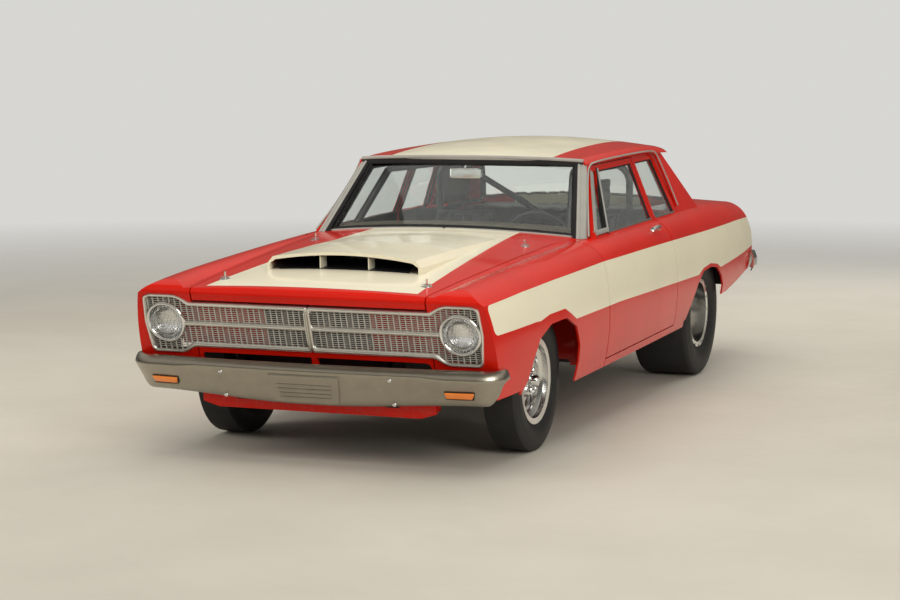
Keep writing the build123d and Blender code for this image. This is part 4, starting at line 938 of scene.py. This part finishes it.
# Bright moulding and rubber over the roof's front edge
for name, key, z_off, width, lift in (("header_trim", "moulding", 0.006, 0.018, 0.007),
    ("header_rubber", "rubber_trim", -0.014, 0.03, 0.005)):
    pts = []
    for k in range(25):
        x = 0.655 * (k / 12 - 1)
        edge = 1.325 + 0.014 * (1 - (abs(x) / 0.655) ** 2.6) + z_off
        pts.append((x, -0.393, edge))
    Form().strip(pts, (0, -1, 0.25), width, lift, 0.01, 0.4).piece(name, key, sharp=60)


def side_point(y, z, off=0.0):
    """A point on the plane of the left side windows."""
    x = 0.812 - (z - 0.952) * (0.137 / 0.348)
    return Vector((x + off * 0.93, y, z + off * 0.37))


SIDE_OUT = Vector((0.348, 0.0, 0.137)).normalized()

# Drip moulding: up the screen pillar, along the roof edge, down the rear pillar
run = smooth_line([(0.793, -0.722, 0.955), (0.742, -0.578, 1.085), (0.694, -0.432, 1.235),
    (0.684, -0.372, 1.3), (0.696, -0.3, 1.321), (0.707, 0.0, 1.328), (0.709, 0.45, 1.328),
    (0.705, 0.72, 1.321), (0.703, 0.83, 1.306), (0.716, 0.868, 1.262), (0.76, 0.905, 1.14),
    (0.812, 0.945, 0.985)], 10)
drip = Form().tube(run, 0.0048)
drip.mirrored().piece("drip_mouldings", "moulding", sharp=80)
gutter = Form().tube([Vector(p) + Vector((-0.008, 0, -0.004)) for p in run[22:]], 0.0075, 8)
gutter.mirrored().piece("drip_gutters", "red", sharp=80)


def side_frame(outline, width, height, sink, name, material, body, extra=0.0):
    """A flat moulding along an outline in the window plane, on both sides."""
    points = [side_point(y, z, extra) for y, z in outline]
    form = Form().strip(points, SIDE_OUT, width, height, sink, 0.35)
    if body == "body":
        form.mirrored().piece(name, material, sharp=60)
    else:
        form.each_side(name + "_{}", material, "{}_door", sharp=60)


# Rubber round the panes, just inside the frames
for name, body, outline in (("vent_seal", "door", [(-0.617, 0.956), (-0.322, 1.262), (-0.29, 1.27),
    (-0.242, 1.27)]), ("door_pane_seal", "door", [(-0.206, 1.268), (0.376, 1.268), (0.378, 0.956),
    (-0.41, 0.956)]), ("quarter_seal", "body", [(0.464, 0.956), (0.464, 1.268), (0.798, 1.268),
    (0.858, 0.956)])):
    side_frame(outline, 0.009, 0.004, 0.012, name, "rubber_trim", body, -0.008)
# Vent window upright with its rail at the belt
side_frame([(-0.455, 0.948), (-0.243, 1.28)], 0.031, 0.0035, 0.033, "vent_divider", "rubber_trim",
    "door")
side_frame([(-0.452, 0.952), (-0.24, 1.279)], 0.015, 0.009, 0.004, "vent_divider_trim", "moulding",
    "door")
side_frame([(-0.65, 0.966), (-0.44, 0.966)], 0.026, 0.009, 0.01, "vent_sill", "moulding", "door")
side_frame([(-0.64, 0.962), (-0.342, 1.27)], 0.034, 0.0025, 0.004, "vent_frame", "moulding",
    "door")
side_frame([(-0.425, 0.953), (0.38, 0.953)], 0.01, 0.004, 0.006, "belt_strip", "bright", "door")
side_frame([(0.462, 0.953), (0.862, 0.953)], 0.01, 0.004, 0.006, "quarter_belt_strip", "bright",
    "body")

# Push-button door handles with their locks
base = probe("door_left", (1.3, 0.2, 0.905), (-1, 0, 0))[0]
hit, out = probe("door_left", (base.x + 0.1, 0.2, 0.99), (-0.5, 0, -0.42))
cross = ALONG.cross(out)
form = Form()
rows = []
for t, lift, wide in ((-0.072, 0.0, 0.012), (-0.066, 0.012, 0.0125), (-0.05, 0.021, 0.012),
    (0.0, 0.025, 0.0115), (0.045, 0.026, 0.011), (0.066, 0.024, 0.011), (0.074, 0.019, 0.009)):
    rows.append([hit + ALONG * t + out * (lift + b * 0.0055) + cross * a * wide for a,
        b in ((-1, -0.6), (-0.6, -1), (0.6, -1), (1, -0.6), (1, 0.6), (0.6, 1), (-0.6, 1),
        (-1, 0.6))])
form.rows(rows)
for t, r in ((-0.062, 0.011), (0.058, 0.012)):
    leg = Form().turned(((r * 1.25, -0.006), (r * 1.2, 0.003), (r, 0.006), (r * 0.8, 0.024)), 20)
    form.join(leg.moved(basis(hit + ALONG * t, ALONG, cross)))
button = Form().turned(((0.0125, -0.004), (0.0125, 0.009), (0.011, 0.0115), (0.0003, 0.0125)), 24)
form.join(button.moved(basis(hit + ALONG * 0.094, ALONG, cross)))
lock = Form().turned(((0.008, -0.004), (0.008, 0.002), (0.0065, 0.003), (0.0003, 0.003)), 20)
lock_at, lock_n = probe("door_left", (1.3, 0.335, 0.865), (-1, 0, 0))
form.join(lock.moved(basis(lock_at, ALONG, ALONG.cross(lock_n))))
form.each_side("door_handle_{}", "chrome", "{}_door", sharp=50, subdivide=1)


# Hood pins with their plates and clips

plates = Form()
clips = Form()
for x, y in ((0.591, -1.162), (0.525, -2.325)):
    for sign in (1, -1):
        hit, normal = probe("hood", (sign * (x + 0.014), y, 1.2), (0, 0, -1))
        place = basis((sign * x, y, hit.z), ACROSS, normal.cross(ACROSS))
        plate = Form().turned(((0.0075, -0.001), (0.0075, 0.0016), (0.016, 0.0034),
            (0.026, 0.0026), (0.0275, 0.0008), (0.027, -0.002)), 40)
        plates.join(plate.moved(place))
        ring = Form().tube([(0.017 * math.cos(a) + 0.004, 0.011 * math.sin(a), 0.0085 + 0.002)
            for a in [k * math.pi / 8 for k in range(13)]], 0.0014, 8)
        clips.join(ring.moved(place))
        leg = Form().tube([(-0.022, 0.0, 0.0095), (0.02, 0.0, 0.0095)], 0.0014, 8)
        clips.join(leg.moved(place))
plates.piece("hood_pin_plates", "chrome", body="hood_panel", sharp=60)
clips.piece("hood_pin_clips", "chrome", body="hood_panel", sharp=60)


# Wheels

def wheel_face(x, y, z):
    """A local frame on a wheel's outer face, z out."""
    return basis((x, y, z), (0, 1, 0), (0, 0, 1))


NUTS, NUT_R, BEAD_SCREWS, BEAD_R = 5, 0.052, 16, 0.2065


def wheel_details(end, disc_x, hub):
    """Nuts and hub cap of both wheels of an axle."""
    nuts = Form()
    hexa = [(0.0125 * c, 0.0125 * s) for c, s in circle(6)]
    for c, s in circle(NUTS, 0.3):
        nut = Form().rows(nested(hexa, ((1, 1, 0.0), (1, 1, 0.02), (0.8, 0.8, 0.024),
            (0.5, 0.5, 0.03), (0.2, 0.2, 0.032))))
        spot = wheel_face(disc_x + 0.028, NUT_R * c, NUT_R * s)
        nuts.join(nut.moved(spot))
        washer = Form().turned(((0.018, -0.004), (0.018, 0.003), (0.013, 0.004)), 24)
        nuts.join(washer.moved(spot))
    cap = Form().turned(hub).moved(wheel_face(disc_x + 0.03, 0, 0))
    for made in (nuts, cap):
        made.moved(Matrix.Translation((HUB_X[end], *AXLES[end])))
    for side in SIDES:
        nuts.each_side(end + "_nuts_{}", "chrome", end + "_{}_wheel", [side], place=FLOOR)
        cap.each_side(end + "_hub_cap_{}", "chrome", end + "_{}_wheel", [side], place=FLOOR)


wheel_details("front", 0.008, ((0.036, -0.004), (0.036, 0.01), (0.033, 0.02), (0.028, 0.04),
    (0.024, 0.047), (0.01, 0.05), (0.0003, 0.05)))
wheel_details("rear", -0.06, ((0.036, -0.004), (0.036, 0.008), (0.033, 0.016), (0.026, 0.024),
    (0.012, 0.028), (0.0003, 0.028)))

# Bead screws round the rear rims
rear_y, rear_z = AXLES["rear"]
form = Form()
for c, s in circle(BEAD_SCREWS):
    screw = Form().turned(((0.006, -0.002), (0.006, 0.003), (0.004, 0.0045), (0.0003, 0.0048)), 10)
    spot = wheel_face(HUB_X["rear"] + 0.15, rear_y + BEAD_R * c, rear_z + BEAD_R * s)
    form.join(screw.moved(spot))
form.each_side("rear_bead_screws_{}", "steel", "rear_{}_wheel", place=FLOOR, sharp=50)


# Cabin lining

def lining(names, rows_of_points, way, lift):
    """Points just off the inner faces of CAD pieces, met along one direction."""
    way = Vector(way)
    return [[probe(names, point, way)[0] - way * lift for point in row] for row in rows_of_points]


def steps(low, high, count):
    """Numbers spread evenly from low to high."""
    return [low + (high - low) * k / count for k in range(count + 1)]


roof_rows = lining("roof", [[(x, y, 1.2) for x in steps(-0.56, 0.56, 16)] for y in steps(-0.335,
    1.125, 20)], (0, 0, 1), 0.004)
Form().rows(roof_rows, False).piece("headliner", "headliner", solid=0.002)
shelf_rows = lining("package_shelf", [[(x, y, 1.05) for x in steps(-0.6, 0.6, 12)]
    for y in (1.134, 1.2, 1.3, 1.4, 1.455)], (0, 0, -1), 0.004)
Form().rows(shelf_rows, False).piece("shelf_mat", "lining", solid=0.003)

card_rows = lining("door_left", [[(0.5, y, z) for y in steps(-0.8, 0.375, 20)]
    for z in steps(0.4, 0.86, 8)], (1, 0, 0), 0.0045)
card = Form().rows(card_rows, False)
rest = Form()
inner = card_rows[5][10].x
rest.rows([[(inner - d * w, y, 0.665 + h * 0.03) for w, h in ((0.0, -1), (0.7, -0.9), (1.0, -0.3),
    (1.0, 0.5), (0.8, 1.0), (0.0, 1.0))] for y, d in ((-0.18, 0.02), (-0.15, 0.048),
    (-0.05, 0.058), (0.08, 0.06), (0.17, 0.05), (0.2, 0.02))])
pull = Form().tube(smooth_line([(inner + 0.004, -0.36, 0.735), (inner - 0.028, -0.355, 0.735),
    (inner - 0.034, -0.32, 0.738), (inner - 0.03, -0.26, 0.742)], 6), 0.006)
for side in SIDES:
    for form, label, key, more in ((card, "card", "lining", {"solid": 0.003}),
        (rest, "arm_rest", "vinyl", {"subdivide": 1}), (pull, "inner_handle", "chrome", {})):
        form.each_side(f"door_{label}_{{}}", key, "{}_door", [side], sharp=50, **more)

# Inner faces of the sails beside the back window
sail_rows = []
for z in steps(0.975, 1.262, 8):
    t = (z - 0.975) / (1.262 - 0.975)
    sail_rows.append([(0.5, y, z) for y in steps(0.915 - 0.055 * t, 1.43 - 0.31 * t, 10)])
sails = Form().rows(lining("rear_pillars quarter_panel_left door_posts", sail_rows, (1, 0, 0),
    0.004), False)
sails.mirrored().piece("sail_linings", "lining", solid=0.002)

# Mirror on its stem
glass_box = rounded(around(0.095, 0.03), 0.016)
mirror_at = basis((-0.017, -0.418, 1.2545), (1, 0, 0), (0, 0.1, 1))
shell = Form().rows(nested(glass_box, ((0.86, 0.86, 0.0125), (0.95, 0.95, 0.0105),
    (1.0, 1.0, 0.004), (1.0, 1.0, -0.007), (0.97, 0.97, -0.01))))
shell.moved(mirror_at).piece("mirror_shell", "bright", sharp=40)
face = Form().rows(nested(glass_box, ((0.94, 0.94, -0.0085), (0.94, 0.94, -0.0106))))
face.moved(mirror_at).piece("mirror_face", "chrome", sharp=40)
stem = Form().tube(smooth_line([(-0.03, -0.33, 1.334), (-0.032, -0.372, 1.312),
    (-0.028, -0.402, 1.282), (-0.02, -0.412, 1.262)], 6), 0.0055)
stem.piece("mirror_stem", "bright", sharp=60)

# Instruments in front of the driver, and the glove box lid
def on_dash(x):
    """A local frame on the face of the instrument panel, z to the rear."""
    return basis((x, -0.4655, 0.842), (-1, 0, 0), (0, 0.1, 1))


cluster = Form()
outline = rounded(((-0.205, -0.05), (0.205, -0.05), (0.205, 0.052), (-0.205, 0.052)), 0.022, 5)
cluster.rows(nested(outline, ((1.0, 1.0, -0.006), (1.0, 1.0, 0.01), (0.975, 0.92, 0.014),
    (0.955, 0.86, 0.01), (0.95, 0.84, 0.003))))
cluster.moved(on_dash(0.36)).piece("instrument_surround", "bright", sharp=40)
dials = Form()
hands = Form()
for x, r in ((-0.135, 0.038), (-0.042, 0.038), (0.042, 0.03), (0.115, 0.03), (0.168, 0.02)):
    dial = Form().turned(((r, 0.0035), (r, 0.0085), (r * 0.94, 0.0095), (r * 0.9, 0.007),
        (r * 0.88, 0.005), (0.0003, 0.005)), 40, (x, 0.001))
    dials.join(dial)
    for k in range(9):
        a = math.radians(-130 + 32.5 * k)
        u, v = math.sin(a), math.cos(a)
        tick = Form().box((-0.0006, r * 0.7, 0.0), (0.0006, r * 0.84, 0.0006))
        hands.join(tick.moved(basis((x, 0.001, 0.0052), (v, -u, 0), (u, v, 0))))
    needle = Form().box((-0.0009, -r * 0.15, 0.0), (0.0009, r * 0.66, 0.001))
    hands.join(needle.moved(basis((x, 0.001, 0.0056), (0.77, 0.64, 0), (-0.64, 0.77, 0))))
dials.moved(on_dash(0.36)).piece("dials", "black", sharp=40)
hands.moved(on_dash(0.36)).piece("dial_marks", "marking", sharp=40)
lid = Form().rows(nested(rounded(around(0.15, 0.045), 0.012), ((1.0, 1.0, -0.004),
    (1.0, 1.0, 0.003), (0.98, 0.98, 0.005))))
lid.moved(on_dash(-0.36)).piece("glove_box_lid", "dash", sharp=40)

# Crowned pad over the instrument panel
pad_rows = []
for k in range(33):
    x = 0.672 * (k / 16 - 1)
    drop = 0.024 * (abs(x) / 0.672) ** 2.2
    pad_rows.append([(x, y, z - drop * share) for y, z, share in ((-0.684, 0.95, 0.0),
        (-0.684, 0.968, 0.3), (-0.65, 0.987, 0.8), (-0.56, 1.001, 1.0), (-0.49, 0.996, 1.0),
        (-0.462, 0.975, 1.0), (-0.4505, 0.944, 1.0), (-0.4485, 0.912, 1.0), (-0.4535, 0.903, 1.0),
        (-0.47, 0.905, 1.0), (-0.6, 0.93, 0.0))])
Form().rows(pad_rows).piece("dash_pad", "dash", sharp=60)

# Bright cap on the hand wheel's hub
COLUMN = (Vector((0.36, -0.3, 0.845)) - Vector((0.36, -1.0, 0.585))).normalized()
hub_at = basis(Vector((0.36, -0.3, 0.845)) + COLUMN * 0.046, (1, 0, 0), COLUMN.cross(ACROSS))
hub = Form().turned(((0.036, -0.01), (0.037, 0.002), (0.033, 0.01), (0.022, 0.014), (0.012, 0.016),
    (0.0003, 0.0165)), 40)
hub.moved(hub_at).piece("hand_wheel_cap", "chrome", body="hand_wheel", sharp=50)


# Padded seats

SWELL_CELL, SWELL_FRAMES, SWELL_CAP, PAD_CORNER = 0.006, 20, 0.018, 2.6


def swell(made):
    """Blow the pad up as cloth with air in it, and hold each point near where it started."""
    def apply(modifier):
        with bpy.context.temp_override(object=made, active_object=made, selected_objects=[made]):
            bpy.ops.object.modifier_apply(modifier=modifier.name)

    apply(modified(made, "REMESH", mode="VOXEL", voxel_size=SWELL_CELL))
    start = [v.co.copy() for v in made.data.vertices]
    m = modified(made, "CLOTH")
    cloth = m.settings
    cloth.quality, cloth.mass = 4, 0.25
    cloth.use_pressure, cloth.uniform_pressure_force = True, 4.0
    cloth.effector_weights.gravity = 0.0
    m.point_cache.frame_start = 1
    m.point_cache.frame_end = SWELL_FRAMES
    for frame_number in range(1, SWELL_FRAMES + 1):
        SCENE.frame_set(frame_number)
    apply(m)
    SCENE.frame_set(1)
    for v, was in zip(made.data.vertices, start):
        way = v.co - was
        if way.length > SWELL_CAP:
            v.co = was + way * (SWELL_CAP / way.length)


def pad(name, place, half, length, deep, bolster, taper, channels):
    """A seat pad: crowned, with raised sides and sewn channels along it."""
    form = Form()
    rows = []
    for k in range(19):
        t = k / 18
        squeeze = max(0.02, 1 - abs(2 * t - 1) ** 5) ** (1 / PAD_CORNER)
        wide = half * (taper[0] + (taper[1] - taper[0]) * t) * (0.9 + 0.1 * squeeze)
        row = []
        for c, s in circle(36):
            u = math.copysign(abs(c) ** 0.5, c)
            w = math.copysign(abs(s) ** 0.55, s)
            high = deep * squeeze * (1.0 + bolster * max(0.0, abs(u) - 0.55) / 0.45)
            if w > 0:
                z = high * (w * 0.5 + 0.5)
            else:
                z = deep * 0.5 * squeeze * (1 + w) * 0.5 + deep * 0.25 * (1 - squeeze)
            row.append((u * wide, t * length, z))
        rows.append(row)
    form.rows(rows)
    made = form.piece(name, "vinyl", place=FLOOR, sharp=180)
    swell(made)
    for v in made.data.vertices:
        u = v.co.x / half
        if v.co.z > deep * 0.45:
            for channel in channels:
                gap = (u - channel) * half / 0.0045
                v.co.z -= 0.006 * math.exp(-gap * gap)
    made.data.transform(RAKE @ place)
    for poly in made.data.polygons:
        poly.use_smooth = True
    modified(made, "SUBSURF", levels=1, render_levels=1)
    return made


# Where the seats' backs start along the car, and how far each seat stands off the middle
SEAT_BACK, SEAT_X = 0.24, 0.385
for x, name in ((SEAT_X, "driver"), (-SEAT_X, "passenger")):
    cushion = pad("seat_cushion_" + name, basis((x, SEAT_BACK - 0.318, 0.408), (1, 0, 0),
        (0, 1, -0.02)), 0.222, 0.475, 0.08, 0.3, (0.95, 1.0), (-0.58, -0.29, 0.0, 0.29, 0.58))
    back = pad("seat_back_" + name, basis((x, SEAT_BACK + 0.176, 0.488), (1, 0, 0), (0, 0.262, 1)),
        0.218, 0.495, 0.062, 0.3, (1.0, 0.88), (-0.58, -0.29, 0.0, 0.29, 0.58))
    if name == "driver":
        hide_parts("seats")
        pad("headrest_driver", basis((x, SEAT_BACK + 0.312, 0.985), (1, 0, 0), (0, 0.262, 1)),
            0.132, 0.185, 0.05, 0.0, (1.0, 0.94), ())
    frame_form = Form()
    for side in (1, -1):
        frame_form.box((x + side * 0.175 - 0.012, SEAT_BACK - 0.29, 0.344),
            (x + side * 0.175 + 0.012, SEAT_BACK + 0.13, 0.372))
    frame_form.piece("seat_runners_" + name, "steel", bevel=0.002)
    base = Form().rows([[(x + a * 0.192, SEAT_BACK - 0.278 + b * 0.41, z) for a,
        b in ((-1, 0), (1, 0), (1, 1), (-1, 1))] for z in (0.37, 0.412)])
    base.piece("seat_base_" + name, "black", bevel=0.012, segments=3)
    shell = Form().rows([[(x + a * w, SEAT_BACK + y0 + b, z) for a, b in ((-1, 0.0), (1, 0.0),
        (1, 0.012), (-1, 0.012))] for z, y0, w in ((0.44, 0.166, 0.2), (0.5, 0.182, 0.205),
        (0.96, 0.302, 0.178))])
    shell.piece("seat_back_shell_" + name, "black", bevel=0.005)


# The photograph's camera, solved from the car's real sizes; light and floor

camera = bpy.data.cameras.new("camera")
camera.lens = 84.668
camera.sensor_width = 36.0
camera.clip_end = 200.0
view = placed("camera", camera)
YAW, PITCH = math.radians(-21.7046), math.radians(-5.8951)
look = Vector((math.sin(YAW) * math.cos(PITCH), math.cos(YAW) * math.cos(PITCH), math.sin(PITCH)))
right = Vector((math.cos(YAW), -math.sin(YAW), 0.0))
up = right.cross(look)
turn = Matrix((right, up, -look)).transposed().to_4x4()
turn.translation = Vector((4.2338, -11.3572, 1.7963))
view.matrix_world = turn
SCENE.camera = view
SCENE.view_settings.view_transform = "Standard"

floor_mat, shader, place, x, y, z = graph("floor_pale")
tree = floor_mat.node_tree
feed(shader, Base_Color=mixed(spread(noise(place, 1.3, 5.0), 0.3, 0.7), (0.56, 0.52, 0.44),
    (0.6, 0.56, 0.475)), Roughness=spread(noise(place, 8.0, 5.0), 0.3, 0.7, 0.5, 0.62))
# Far from the car the floor fades into the backdrop
fade = node(tree, "MixShader")
plug(fade.inputs[0], spread((x * x + y * y).math("SQRT"), 5.0, 16.0))
plug(fade.inputs[1], Wire(shader.outputs[0]))
plug(fade.inputs[2], Wire(node(tree, "BsdfTransparent").outputs[0]))
plug(tree.nodes["Material Output"].inputs["Surface"], Wire(fade.outputs[0]))
mesh = bpy.data.meshes.new("floor")
mesh.from_pydata([(x, y, 0.0) for y in (-60.0, 60.0) for x in (-60.0, 60.0)], [], [(0, 1, 3, 2)])
mesh.materials.append(floor_mat)
placed("floor", mesh)


def lamp(name, place, aim, size, power, shown=False):
    """A soft square light."""
    data = bpy.data.lights.new(name, "AREA")
    data.shape = "RECTANGLE"
    data.size, data.size_y = size
    data.energy = power
    data.color = (1.0, 0.985, 0.95)
    made = placed(name, data)
    made.location = place
    way = Vector(aim) - Vector(place)
    made.rotation_euler = way.to_track_quat("-Z", "Y").to_euler()
    made.visible_glossy = shown


lamp("overhead", (0.0, 0.0, 6.0), (0.0, 0.0, 0.0), (6.0, 9.0), 255)
lamp("front_left", (7.0, -7.0, 4.5), (0.0, 0.0, 0.6), (4.0, 4.0), 340, True)
lamp("front_right", (-7.0, -5.0, 4.0), (0.0, 0.0, 0.6), (4.0, 4.0), 240)
lamp("behind", (2.0, 8.0, 4.5), (0.0, 0.0, 0.6), (5.0, 3.0), 220)

world = bpy.data.worlds.new("studio")
SCENE.world = world
world.use_nodes = True
rays = node(world.node_tree, "LightPath").outputs
seen = Wire(rays["Is Camera Ray"]).math("MAXIMUM", Wire(rays["Is Transmission Ray"]))
sky = along(coordinates(world.node_tree, "Generated")[1][2], ((-1.0, 0.2), (0.02, 0.1),
    (0.26, 0.13), (0.5, 0.5), (0.72, 0.58), (0.86, 0.12)))
shine = mixed(sky, (0.0, 0.0, 0.0), (1.0, 0.95, 0.85))
lit = mixed(Wire(rays["Is Glossy Ray"]), (0.46, 0.455, 0.44), shine)
feed(world.node_tree.nodes["Background"], Color=mixed(seen, lit, (0.68, 0.675, 0.65)),
    Strength=1.0)
